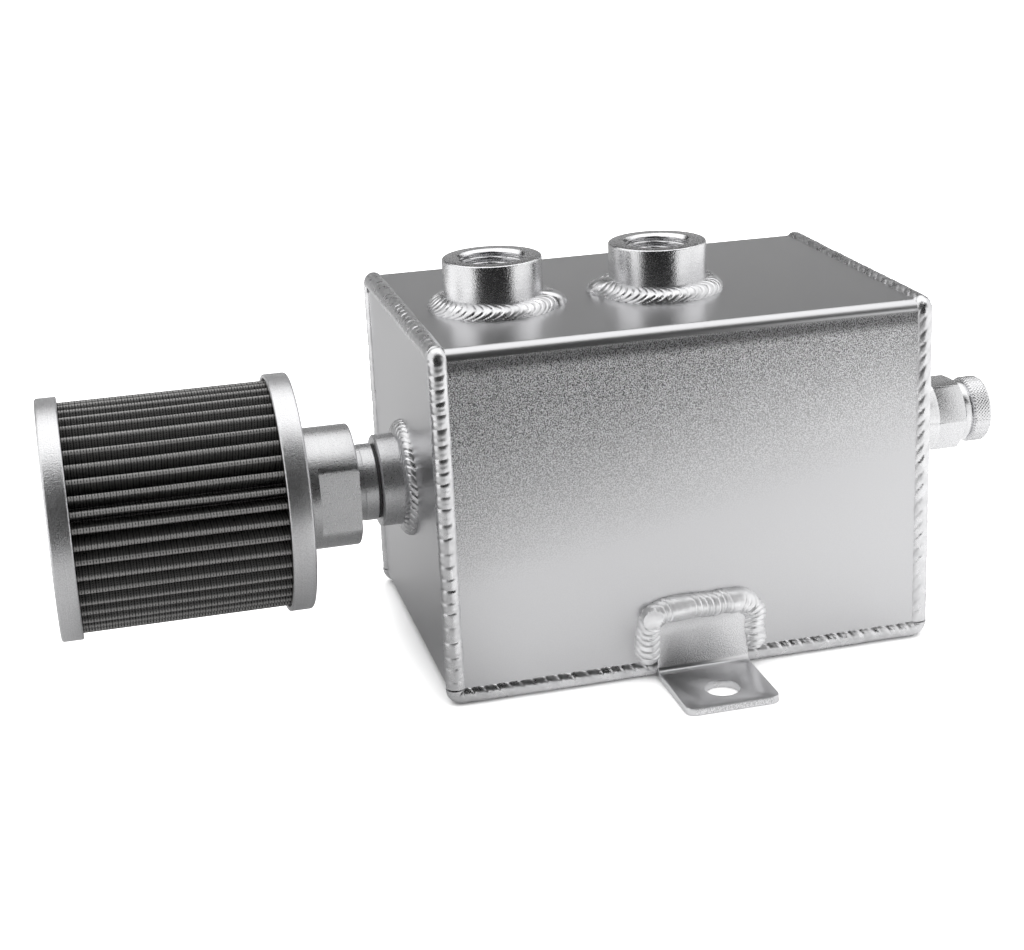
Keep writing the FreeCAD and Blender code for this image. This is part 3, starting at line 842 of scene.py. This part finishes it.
def make_end_seam(node, x, side, bow, lean, low, high):
    """Bead between an end wall and the cover."""
    weld = bpy.context.scene.can_weld
    stations = channel_stations(
        inner_front, inner_back, inner_top, floor_seam_high.z, inner_fold, on_yz(x), Vector((side, 0, 0)),
        weld.seam_pitch / weld.stations, seam_reach)
    ripple = Ripple(
        weld.seam_pitch, weld.seam_depth, steady(bow), tip=0.1, lean=lean, point=2.0, low=low, high=high,
        clear=steady(1), seed=3.7)

    def shaped(point, station):
        return off_fold_centre(point, station) if point.z > inner_top - fold_radius else point

    make_corner_bead(node, stations, ripple, shaped)


def make_floor_seam(node, y, side):
    """Bead between the floor and the cover, level with the wall behind the foot."""
    weld = bpy.context.scene.can_weld
    across = Vector((0, side, 0))
    stations = channel_stations(
        inner_left, inner_right, inner_floor, inner_floor + inner_fold, inner_fold, on_xz(y), across,
        weld.seam_pitch / weld.stations, seam_reach)
    ripple = Ripple(
        weld.seam_pitch * 0.95, weld.seam_depth, steady(0), tip=0, lean=-0.8, point=2.0, low=-1.0,
        high=-0.5, clear=steady(1), seed=8.1)
    wall = sheet * 0.98

    def behind_foot(point, station):
        """Keeps the bead behind the foot's leg, and off the centre of a fold."""
        if not inner_left + inner_fold < station.origin.x < inner_right - inner_fold:
            point = off_fold_centre(point, station)
        proud = (point - station.origin).dot(across)
        if proud > wall and foot_low.x < point.x < foot_high.x:
            point = point - across * (proud - wall)
        return point

    make_corner_bead(node, stations, ripple, behind_foot)


def make_ring_weld(node, centre, axis, side, radius, seed, bow, tip, lean, point, stop=None):
    """Ring weld round a turned piece, with the form of its ripples and where on the way round it stops."""
    weld = bpy.context.scene.can_weld
    low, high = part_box(node)
    height = abs((high - low).dot(axis))
    width = (high.y - low.y) / 2 - radius
    stations = ring_stations(centre, axis, side, radius, width, weld.ring_pitch, weld.stations)
    whole = stations[-1].travelled
    pool_length = 0.085
    pool_clearness = 0.12
    pool_width, pool_fullness = 0.0022, 0.7
    notch_length, notch_depth = 0.12, 0.0003
    inside = -0.0006

    def from_stop(station):
        """Distance past the start of the pool where the torch was lifted, in pool lengths."""
        return ((station.travelled / whole - stop + 0.5) % 1 - 0.5) / pool_length

    def clear(station):
        return pool_clearness if stop is not None and 0 < from_stop(station) < 1 else 1.0

    def with_pool(place, station):
        """Flat, wider pool at the end of the bead, with a notch before it."""
        out = (place - station.origin).dot(station.across) / width
        if stop is None or out <= 0:
            return place
        along = from_stop(station)
        if 0 < along < 1:
            place = place + station.across * pool_width * math.sin(math.pi * along ** pool_fullness) * out
        notch = max(0.0, 1 - abs(along) / notch_length)
        return place - (station.across + station.outward) * notch_depth * notch

    ripple = Ripple(weld.ring_pitch, weld.ring_depth, steady(bow), tip, lean, point, -1.0, 1.0, clear, seed)
    closing = ((inside, height * 0.9), (inside, inside), (width * 0.9, inside))
    bm = bead(stations, fillet_crown(width, height), closing, ripple, with_pool, ring=True)
    new_piece(node, "bead", bm, finish(weld_metal))


def make_boss(node):
    """Hose boss with its thread."""
    thread = bpy.context.scene.can_thread
    low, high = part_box(node)
    centre = Vector(((low.x + high.x) / 2, (low.y + high.y) / 2, 0))
    outer = (high.x - low.x) / 2
    spigot = outer - 0.0025
    seat = cover_high.z - 0.0004
    edge = 0.0006
    mouth = 0.0004
    below_thread = 0.0006
    rows = 10
    flank, crest = 1.3, 0.15
    run_in = 2.5
    major = port_radius + thread.depth
    row_pitch = thread.pitch / rows
    count = int((high.z - low.z - mouth - below_thread) / row_pitch)
    top = high.z - mouth
    bottom = top - (count - 1) * row_pitch
    corners = [
        (low.z, port_radius, 0), (low.z, spigot, 0), (seat, spigot, 0), (seat, outer, 0),
        (high.z, outer, edge), (high.z, major + mouth, 0),
    ]
    for row in range(count):
        corners.append((top - row * row_pitch, major, 0))
    bm = turned(corners, centre, upright=True, steps=96)
    near = 1e-6
    for vertex in bm.verts:
        arm = (vertex.co - centre) * Vector((1, 1, 0))
        if bottom - near <= vertex.co.z <= top + near and arm.length < major + 10 * near:
            down = top - vertex.co.z
            ridge = zigzag(down / thread.pitch + math.atan2(arm.y, arm.x) / (2 * math.pi))
            sink = thread.depth * max(0.0, min(1.0, ridge * flank - crest))
            vertex.co -= arm.normalized() * min(sink, run_in * down)
    new_piece(node, "turned", bm, boss_metal(node, centre), sharp=math.radians(40))


def make_foot_weld(node, y, side):
    """Thick bead round the leg of a foot, with a start crater at one upper corner."""
    noise.seed_set(wander_seed)
    weld = bpy.context.scene.can_weld
    low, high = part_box(node)
    radius = abs((low if side < 0 else high).y - y)
    left, top = low.x + radius, high.z - radius
    corner = 0.0062
    across = Vector((0, side, 0))
    in_wall = Vector((1, 0, 1))
    stations = channel_stations(
        left, -left, top, low.z + radius, corner, on_xz(y), across, weld.foot_pitch / weld.stations,
        radius * 0.6)
    top_run, top_bow, leg_bow = 0.6, 1.5, -1.2
    patches = (left * 0.4, -left * 0.72)
    patch_inner, patch_outer, patch_share = 0.002, 0.0045, 0.9
    crater = Vector((left + 0.0008, y, top - 0.0016))
    crater_radius, crater_edge = 0.0035, 0.0004
    crater_floor, crater_rise = 0.74, 0.1
    crown_side = 0.001
    wander_rate, wander_width = 250, 0.0006
    end_share = 0.05
    overlap = math.radians(6)

    def bow(station):
        return top_bow if station.outward.z > top_run else leg_bow

    def clear(station):
        """Smooth patches left and right of the middle of the top run."""
        away = min(abs(station.origin.x - spot) for spot in patches)
        smooth = smooth_step(patch_outer, patch_inner, away)
        return 1 - patch_share * smooth * max(0.0, station.outward.z)

    def with_crater(point, station):
        """Rounds the bead's ends, lets its path wander and dishes its crater."""
        from_end = min(station.travelled, stations[-1].travelled - station.travelled)
        if from_end < radius:
            share = math.sqrt(max(0.0, 1 - (1 - from_end / radius) ** 2))
            point = station.origin + (point - station.origin) * max(end_share, share)
        point = point + noise.noise_vector(station.origin * wander_rate) * wander_width * in_wall
        flat = (point - crater) * in_wall
        proud = (point - crater).dot(across)
        if flat.length < crater_radius and proud > crown_side:
            dish = radius * (crater_floor + crater_rise * (flat.length / crater_radius) ** 2)
            blend = min(1.0, (crater_radius - flat.length) / crater_edge)
            point = point + across * (dish - proud) * blend
        return point

    ripple = Ripple(
        weld.foot_pitch, weld.foot_depth, bow, tip=0, lean=0.0, point=2.0, low=-0.9, high=0.9, clear=clear,
        seed=5.3)
    crown = round_crown(radius, -overlap, math.pi + overlap, turn=math.pi / 2)
    closing = ((-0.0005, radius * 0.6), (-0.0005, -radius * 0.6))
    bm = bead(stations, crown, closing, ripple, with_crater)
    new_piece(node, "bead", bm, finish(foot_weld_metal))


def make_neck():
    """Filter's collar with two spanner flats, and its neck and thread."""
    collar_start = inner_cup_high.x
    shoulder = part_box("breather_seal")[0].x - 0.00005
    collar_end = shoulder - 0.0067
    collar_radius, collar_edge, collar_round = 0.0199, 0.0003, 0.0006
    flat_start, flat_step, flat = collar_start + 0.0048, 0.00005, 0.0167
    lip, lip_width = 0.0155, 0.001
    neck_radius, neck_edge, thread_radius, thread_round, bore = 0.0126, 0.0002, 0.011, 0.0008, 0.0085
    groove, groove_end, groove_slope = 0.0002, collar_end + 0.0022, 0.0004
    corners = (
        (neck_low.x, bore, 0), (neck_low.x, lip, 0), (neck_low.x + lip_width, lip, 0),
        (neck_low.x + lip_width, neck_spigot, 0), (collar_start, neck_spigot, 0),
        (collar_start, collar_radius, collar_edge), (flat_start, collar_radius, 0),
        (flat_start + flat_step, collar_radius, 0), (collar_end, collar_radius, collar_round),
        (collar_end, neck_radius - groove, 0), (groove_end, neck_radius - groove, 0),
        (groove_end + groove_slope, neck_radius, neck_edge), (shoulder - neck_edge, neck_radius, 0),
        (shoulder, neck_radius - neck_edge, 0), (shoulder, thread_radius, 0),
        (neck_high.x, thread_radius, thread_round), (neck_high.x, bore, 0),
    )
    bm = turned(corners, steps=96)
    for vertex in bm.verts:
        if vertex.co.x > flat_start + flat_step / 2 and abs(vertex.co.y) > flat:
            vertex.co.y = math.copysign(flat, vertex.co.y)
    new_piece("breather_neck", "turned", bm, finish(turned_fitting))


def make_cup(node, face, rim, hole):
    """Filter cup with rolled edges, from its face to its rim, with a hole for the neck."""
    radius = (inner_cup_high.y - inner_cup_low.y) / 2
    face_round, rim_round = 0.0009, 0.0006
    disc = face + math.copysign(cup_wall, rim - face)
    corners = (
        (face, hole, 0), (face, radius, face_round), (rim, radius, rim_round),
        (rim, radius - cup_wall, rim_round), (disc, radius - cup_wall, 0), (disc, hole, 0),
    )
    new_piece(node, "turned", turned(corners, steps=160), finish(filter_cup_metal))


def make_stub():
    """Threaded stub on the left end wall."""
    radius = (stub_high.y - stub_low.y) / 2
    bore, spigot, edge = 0.01105, 0.014, 0.0005
    corners = (
        (stub_high.x, bore, 0), (stub_high.x, spigot, 0), (base_low.x, spigot, 0), (base_low.x, radius, 0),
        (stub_low.x + edge, radius, 0), (stub_low.x, radius - edge, 0), (stub_low.x, bore, 0),
    )
    new_piece("breather_stub", "turned", turned(corners), finish(turned_fitting))


def make_bung():
    """Threaded bung on the right end wall."""
    radius = (bung_high.y - bung_low.y) / 2
    bore, spigot, edge = 0.009, 0.013, 0.0007
    corners = (
        (bung_low.x, bore, 0), (bung_low.x, spigot, 0), (base_high.x, spigot, 0), (base_high.x, radius, 0),
        (bung_high.x, radius, edge), (bung_high.x, bore, 0),
    )
    new_piece("drain_bung", "turned", turned(corners), finish(drain_metal))


def make_drain_cap():
    """Screw cap with a diamond knurl on its head."""
    thread = bpy.context.scene.can_thread
    radius = (cap_high.y - cap_low.y) / 2
    head, seat = cap_low.x + 0.003, cap_high.x - 0.0025
    collar_radius, collar_edge, bore = 0.0108, 0.0003, 0.00805
    edge, edge_round = 0.0008, 0.0002
    groove = 0.0008
    rows = 26
    knurl_low, knurl_high = head + edge, cap_high.x - edge
    corners = [
        (cap_low.x, bore, 0), (cap_low.x, collar_radius, collar_edge),
        (head - groove, collar_radius, edge_round), (head - groove, collar_radius - groove, 0),
        (head, collar_radius - groove, 0), (head, radius - edge, 0),
    ]
    for row in range(rows + 1):
        corners.append((knurl_low + (knurl_high - knurl_low) * row / rows, radius, 0))
    corners += [(cap_high.x, radius - edge, edge_round), (cap_high.x, 0, 0), (seat, 0, 0), (seat, bore, 0)]
    bm = turned(corners, steps=288)
    ridges = round(2 * math.pi * radius / thread.knurl_pitch)
    for vertex in bm.verts:
        arm = Vector((0, vertex.co.y, vertex.co.z - axis_height))
        if arm.length > radius - 1e-5:
            around = math.atan2(arm.z, arm.y) / (2 * math.pi) * ridges
            along = (vertex.co.x - knurl_low) / thread.knurl_pitch
            height = min(zigzag(around + along), zigzag(around - along))
            vertex.co -= arm.normalized() * thread.knurl_depth * (1 - height) ** 2
    new_piece("drain_cap", "knurled", bm, finish(drain_metal), sharp=math.radians(50))


def pleat_outline():
    """Middle line of the pleated sheet, once round the filter."""
    settings = bpy.context.scene.can_filter
    bend_steps = 8
    half_pitch = math.pi / settings.pleats
    crest_centre = settings.outer_radius - settings.crest_radius - settings.thickness / 2
    root_centre = settings.inner_radius + settings.root_radius + settings.thickness / 2
    along = root_centre * math.cos(half_pitch) - crest_centre
    across = root_centre * math.sin(half_pitch)
    lean = math.acos((settings.crest_radius + settings.root_radius) / math.hypot(along, across))
    flank = math.atan2(across, along) - lean
    outline = []
    for pleat in range(settings.pleats):
        crest = 2 * half_pitch * pleat
        root = crest + half_pitch
        for centre, place_angle, radius, facing, sweep in (
                (crest_centre, crest, settings.crest_radius, crest, flank),
                (root_centre, root, settings.root_radius, root + math.pi, half_pitch - flank)):
            for step in range(bend_steps + 1):
                angle = facing + sweep * (2 * step / bend_steps - 1)
                outline.append(Vector((
                    centre * math.cos(place_angle) + radius * math.cos(angle),
                    centre * math.sin(place_angle) + radius * math.sin(angle))))
    return outline


def make_element():
    """Pleated wire mesh, a little uneven as folded wire is, with a map along the wire."""
    settings = bpy.context.scene.can_filter
    outline = pleat_outline()
    lengths = [0.0]
    for index, point in enumerate(outline):
        lengths.append(lengths[-1] + (outline[(index + 1) % len(outline)] - point).length)
    rows, columns = len(outline), 36
    element_length = element_high.x - element_low.x
    most_sway, sway_around, sway_along = 0.011, 6, 1.4
    end_sway, middle_sway, sway_round = 0.4, 0.6, 0.3
    bm = bmesh.new()
    bmesh.ops.create_grid(bm, x_segments=rows, y_segments=columns, size=1)
    uv_map = bm.loops.layers.uv.new("wire")
    for face in bm.faces:
        for loop in face.loops:
            row = round((loop.vert.co.x + 1) / 2 * rows)
            loop[uv_map].uv = (lengths[row], (loop.vert.co.y + 1) / 2 * element_length)
    for vertex in bm.verts:
        share = (vertex.co.y + 1) / 2
        point = outline[round((vertex.co.x + 1) / 2 * rows) % rows].copy()
        pleat = math.atan2(point.y, point.x)
        spot = Vector((math.cos(pleat) * sway_around, math.sin(pleat) * sway_around, share * sway_along))
        free = math.sin(math.pi * share) ** sway_round if 0 < share < 1 else 0
        lift = (point.length - settings.inner_radius) / (settings.outer_radius - settings.inner_radius)
        sway = most_sway * noise.noise(spot) * (end_sway + middle_sway * free) * lift
        point.rotate(Matrix.Rotation(sway, 2))
        vertex.co = Vector((element_low.x + share * element_length, point.x, axis_height + point.y))
    bmesh.ops.remove_doubles(bm, verts=bm.verts, dist=together)
    bmesh.ops.recalc_face_normals(bm, faces=bm.faces)
    piece = new_piece("filter_element", "pleats", bm, finish(pleated_wire), sharp=math.radians(80))
    wall = piece.modifiers.new("wire_thickness", "SOLIDIFY")
    wall.thickness = settings.thickness
    wall.offset = 0


# Operators


class CATCHCAN_OT_sheets(bpy.types.Operator):
    """Finish the two folded sheets of the tank and the plates inside it"""

    bl_idname = "catchcan.sheets"
    bl_label = "Tank Sheets"

    def execute(self, context):
        for node in ("tank_base_channel", "tank_cover_channel", "baffle_plate_left", "baffle_plate_right"):
            dressed(node, finish(blasted_sheet))
        return {"FINISHED"}


class CATCHCAN_OT_corner_beads(bpy.types.Operator):
    """Lay the rippled beads along the tank's corners"""

    bl_idname = "catchcan.corner_beads"
    bl_label = "Corner Beads"

    def execute(self, context):
        make_end_seam("left_end_seam", inner_left, -1, bow=-0.3, lean=0.0, low=-0.35, high=0.55)
        make_end_seam("right_end_seam", inner_right, 1, bow=0.0, lean=1.5, low=-0.2, high=1.0)
        make_floor_seam("front_floor_seam", inner_front, -1)
        make_floor_seam("back_floor_seam", inner_back, 1)
        return {"FINISHED"}


class CATCHCAN_OT_ring_welds(bpy.types.Operator):
    """Lay the rippled ring welds round the bosses, the stub and the bung"""

    bl_idname = "catchcan.ring_welds"
    bl_label = "Ring Welds"

    def execute(self, context):
        up, right, left = Vector((0, 0, 1)), Vector((1, 0, 0)), Vector((-1, 0, 0))
        for boss, seed, stop in (("inlet_boss", 2.2, 0.43), ("outlet_boss", 6.4, 0.93)):
            low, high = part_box(boss)
            centre = Vector(((low.x + high.x) / 2, (low.y + high.y) / 2, cover_high.z))
            make_ring_weld(
                boss + "_weld", centre, up, left, (high.x - low.x) / 2, seed, bow=1.7, tip=0.05, lean=0.0,
                point=2.0, stop=stop)
        for node, wall, out, low, high, seed, point in (
                ("breather_stub_weld", base_low.x, left, stub_low, stub_high, 4.9, 1.2),
                ("drain_bung_weld", base_high.x, right, bung_low, bung_high, 9.6, 1.4)):
            centre = common_axis + Vector((wall, 0, 0))
            make_ring_weld(
                node, centre, out, up, (high.y - low.y) / 2, seed, bow=1.0, tip=0, lean=0.2, point=point)
        return {"FINISHED"}


class CATCHCAN_OT_bosses(bpy.types.Operator):
    """Turn the two hose bosses with their threads"""

    bl_idname = "catchcan.bosses"
    bl_label = "Hose Bosses"

    def execute(self, context):
        make_boss("inlet_boss")
        make_boss("outlet_boss")
        return {"FINISHED"}


class CATCHCAN_OT_feet(bpy.types.Operator):
    """Break the edges of the two feet and lay the thick beads round their legs"""

    bl_idname = "catchcan.feet"
    bl_label = "Feet"

    def execute(self, context):
        edge = 0.0003
        for node in ("front_bracket", "back_bracket"):
            new_piece(node, "folded", softened(node, edge), finish(foot_sheet))
        make_foot_weld("front_bracket_weld", cover_low.y, -1)
        make_foot_weld("back_bracket_weld", cover_high.y, 1)
        return {"FINISHED"}


class CATCHCAN_OT_breather(bpy.types.Operator):
    """Turn the breather stub, the filter's neck and its two cups"""

    bl_idname = "catchcan.breather"
    bl_label = "Breather"

    def execute(self, context):
        make_stub()
        make_neck()
        make_cup("filter_inner_cap", inner_cup_high.x, inner_cup_low.x, neck_spigot)
        make_cup("filter_outer_cap", outer_cup_low.x, outer_cup_high.x, 0)
        dressed("breather_seal", finish(seal_rubber))
        return {"FINISHED"}


class CATCHCAN_OT_pleats(bpy.types.Operator):
    """Fold the pleated wire mesh and finish the tube inside it"""

    bl_idname = "catchcan.pleats"
    bl_label = "Pleated Wire"

    def execute(self, context):
        make_element()
        dressed("filter_core_tube", finish(core_metal))
        return {"FINISHED"}


class CATCHCAN_OT_drain(bpy.types.Operator):
    """Turn the bung, finish the drain fitting and knurl its cap"""

    bl_idname = "catchcan.drain"
    bl_label = "Drain"

    def execute(self, context):
        edge = 0.00025
        make_bung()
        new_piece("drain_fitting", "turned", softened("drain_fitting", edge), finish(drain_metal))
        make_drain_cap()
        for node in ("drain_fitting_seal", "drain_cap_seal"):
            dressed(node, finish(seal_rubber))
        return {"FINISHED"}


# Studio

# Shade of the floor, and the greyer shade of its painted filter shadow that only mirror rays see
white_floor, mirrored_floor = 0.86, 0.46
floor_size = 12
lamp_place, lamp_size = Vector((0.0, 0.45, 1.1)), 1.7

# Cards that only the metal mirrors: shade, width, height and middle
CARDS = {
    "dark_card_front": (0.02, 0.65, 0.95, (-0.175, -0.33, 0.475)),
    "dark_card_side": (0.02, 0.26, 0.65, (0.28, -0.33, 0.625)),
    "grey_card_back": (0.32, 1.6, 0.31, (0.1, 0.55, 0.155)),
    "dark_card_back": (0.02, 1.6, 0.27, (0.1, 0.55, 0.445)),
}


def plain_material(name, shade):
    """Matt material of the floor or a card."""
    material, tree, shader, coordinates = new_material(name)
    shader.inputs["Base Color"].default_value = (shade, shade, shade, 1)
    shader.inputs["Roughness"].default_value = 1.0
    shader.inputs["Specular IOR Level"].default_value = 0.0
    return material, tree, shader, coordinates


def floor_material():
    """White floor that glows for the camera except close to what stands on it, where the missing glow is a
    painted contact shadow, and greyer in mirrors under the filter, a painted shadow of the filter.
    """
    contact_shadow_reach, contact_shadow_start = 0.018, 0.3
    left_edge, left_end = -0.36, -0.31
    right_end, right_edge = -0.085, -0.055
    material, tree, shader, coordinates = plain_material("studio_floor", white_floor)
    path = place(tree, "ShaderNodeLightPath")
    # Painted contact shadow: the camera's glow fades where ambient occlusion finds something close
    near = place(tree, "ShaderNodeAmbientOcclusion", {"Distance": contact_shadow_reach}, samples=8)
    spot = split(tree, (coordinates, "Object"))
    from_left = spread(tree, (spot, "X"), left_edge, left_end)
    to_right = spread(tree, (spot, "X"), right_end, right_edge, 1.0, 0.0)
    strip = maths(tree, "MULTIPLY", from_left, to_right)
    # Painted shadow of the filter: mirror rays see the floor greyer in a strip under it
    painted_filter_shadow = maths(tree, "MULTIPLY", (path, "Is Glossy Ray"), strip)
    link(tree, spread(tree, painted_filter_shadow, 0.0, 1.0, white_floor, mirrored_floor), (shader, "Base Color"))
    seen = maths(tree, "MAXIMUM", (path, "Is Camera Ray"), (path, "Is Transmission Ray"))
    glow = spread(tree, (near, "AO"), contact_shadow_start, 1.0)
    link(tree, maths(tree, "MULTIPLY", seen, glow), (shader, "Emission Strength"))
    shader.inputs["Emission Color"].default_value = (1, 1, 1, 1)
    return material


def stage_plane(name, material, width, height, matrix):
    """Flat staging piece of this size, placed by the matrix."""
    bm = bmesh.new()
    bmesh.ops.create_grid(bm, x_segments=1, y_segments=1, size=0.5)
    bmesh.ops.scale(bm, vec=(width, height, 1), verts=bm.verts)
    bmesh.ops.transform(bm, matrix=matrix, verts=bm.verts)
    mesh = bpy.data.meshes.new(name)
    bm.to_mesh(mesh)
    bm.free()
    piece = bpy.data.objects.new(name, mesh)
    piece.data.materials.append(material)
    bpy.context.scene.collection.objects.link(piece)
    return piece


class CATCHCAN_OT_stage(bpy.types.Operator):
    """Set the floor, the cards, the lamp, the world and the camera"""

    bl_idname = "catchcan.stage"
    bl_label = "Studio"

    def execute(self, context):
        settings = context.scene.can_studio
        stage_plane("studio_floor", floor_material(), floor_size, floor_size, Matrix.Identity(4))
        for name, (shade, width, height, middle) in CARDS.items():
            self.card(name, shade, width, height, middle)
        self.lamp(settings.overhead)
        self.world(context, settings.ambient)
        self.camera(context, settings)
        context.scene.view_settings.view_transform = "Standard"
        return {"FINISHED"}

    def card(self, name, shade, width, height, middle):
        """Upright card that only shows in the metal's reflections."""
        matrix = Matrix.Translation(middle) @ Matrix.Rotation(math.pi / 2, 4, "X")
        piece = stage_plane(name, plain_material(name, shade)[0], width, height, matrix)
        piece.visible_camera = False
        piece.visible_diffuse = False
        piece.visible_shadow = False
        piece.visible_transmission = False

    def lamp(self, power):
        """Square soft lamp above the can, which faces straight down."""
        light = bpy.data.lights.new("overhead", "AREA")
        light.shape = "SQUARE"
        light.size = lamp_size
        light.energy = power
        lamp = bpy.data.objects.new("overhead", light)
        lamp.location = lamp_place
        bpy.context.scene.collection.objects.link(lamp)

    def world(self, context, strength):
        """Pale even light, plain white where the camera or a mirror ray sees it."""
        world = bpy.data.worlds.new("studio_world")
        world.use_nodes = True
        context.scene.world = world
        tree = world.node_tree
        background = tree.nodes["Background"]
        background.inputs["Color"].default_value = (1, 1, 1, 1)
        path = place(tree, "ShaderNodeLightPath")
        seen = maths(tree, "MAXIMUM", (path, "Is Camera Ray"), (path, "Is Glossy Ray"))
        seen = maths(tree, "MAXIMUM", seen, (path, "Is Transmission Ray"))
        link(tree, spread(tree, seen, 0.0, 1.0, strength, 1.0), (background, "Strength"))

    def camera(self, context, settings):
        """Camera at the photograph's viewing angle."""
        ahead = Vector((
            math.sin(settings.turn) * math.cos(settings.tilt),
            math.cos(settings.turn) * math.cos(settings.tilt),
            -math.sin(settings.tilt)))
        right = Vector((math.cos(settings.turn), -math.sin(settings.turn), 0))
        up = right.cross(ahead)
        rolled_right = right * math.cos(settings.roll) + up * math.sin(settings.roll)
        rolled_up = up * math.cos(settings.roll) - right * math.sin(settings.roll)
        data = bpy.data.cameras.new("camera")
        data.lens = settings.lens
        data.sensor_width = 36
        data.shift_x, data.shift_y = settings.shift
        camera = bpy.data.objects.new("camera", data)
        turn = Matrix((rolled_right, rolled_up, -ahead)).transposed()
        camera.matrix_world = Matrix.Translation(settings.eye) @ turn.to_4x4()
        context.scene.collection.objects.link(camera)
        context.scene.camera = camera


class CATCHCAN_PT_panel(bpy.types.Panel):
    """Lists the steps that finish the can"""

    bl_idname = "CATCHCAN_PT_panel"
    bl_label = "Oil Catch Can"
    bl_space_type = "VIEW_3D"
    bl_region_type = "UI"
    bl_category = "Catch Can"

    def draw(self, context):
        for operator in OPERATORS:
            self.layout.operator(operator.bl_idname)
        for settings in SETTINGS:
            group = getattr(context.scene, settings)
            for name in group.__annotations__:
                self.layout.prop(group, name)


OPERATORS = (
    CATCHCAN_OT_stage, CATCHCAN_OT_sheets, CATCHCAN_OT_corner_beads, CATCHCAN_OT_ring_welds,
    CATCHCAN_OT_bosses, CATCHCAN_OT_feet, CATCHCAN_OT_breather, CATCHCAN_OT_pleats, CATCHCAN_OT_drain,
)
SETTINGS = {
    "can_weld": WeldSettings, "can_filter": FilterSettings, "can_thread": ThreadSettings,
    "can_colours": ColourSettings, "can_studio": StudioSettings,
}


def register():
    for group in (*SETTINGS.values(), *OPERATORS, CATCHCAN_PT_panel):
        bpy.utils.register_class(group)
    for name, group in SETTINGS.items():
        setattr(bpy.types.Scene, name, bpy.props.PointerProperty(type=group))


def unregister():
    for name in SETTINGS:
        delattr(bpy.types.Scene, name)
    for group in (CATCHCAN_PT_panel, *reversed(OPERATORS), *SETTINGS.values()):
        bpy.utils.unregister_class(group)


def main():
    register()
    bpy.ops.catchcan.stage()
    bpy.ops.catchcan.sheets()
    bpy.ops.catchcan.corner_beads()
    bpy.ops.catchcan.ring_welds()
    bpy.ops.catchcan.bosses()
    bpy.ops.catchcan.feet()
    bpy.ops.catchcan.breather()
    bpy.ops.catchcan.pleats()
    bpy.ops.catchcan.drain()


if __name__ == "__main__":
    main()
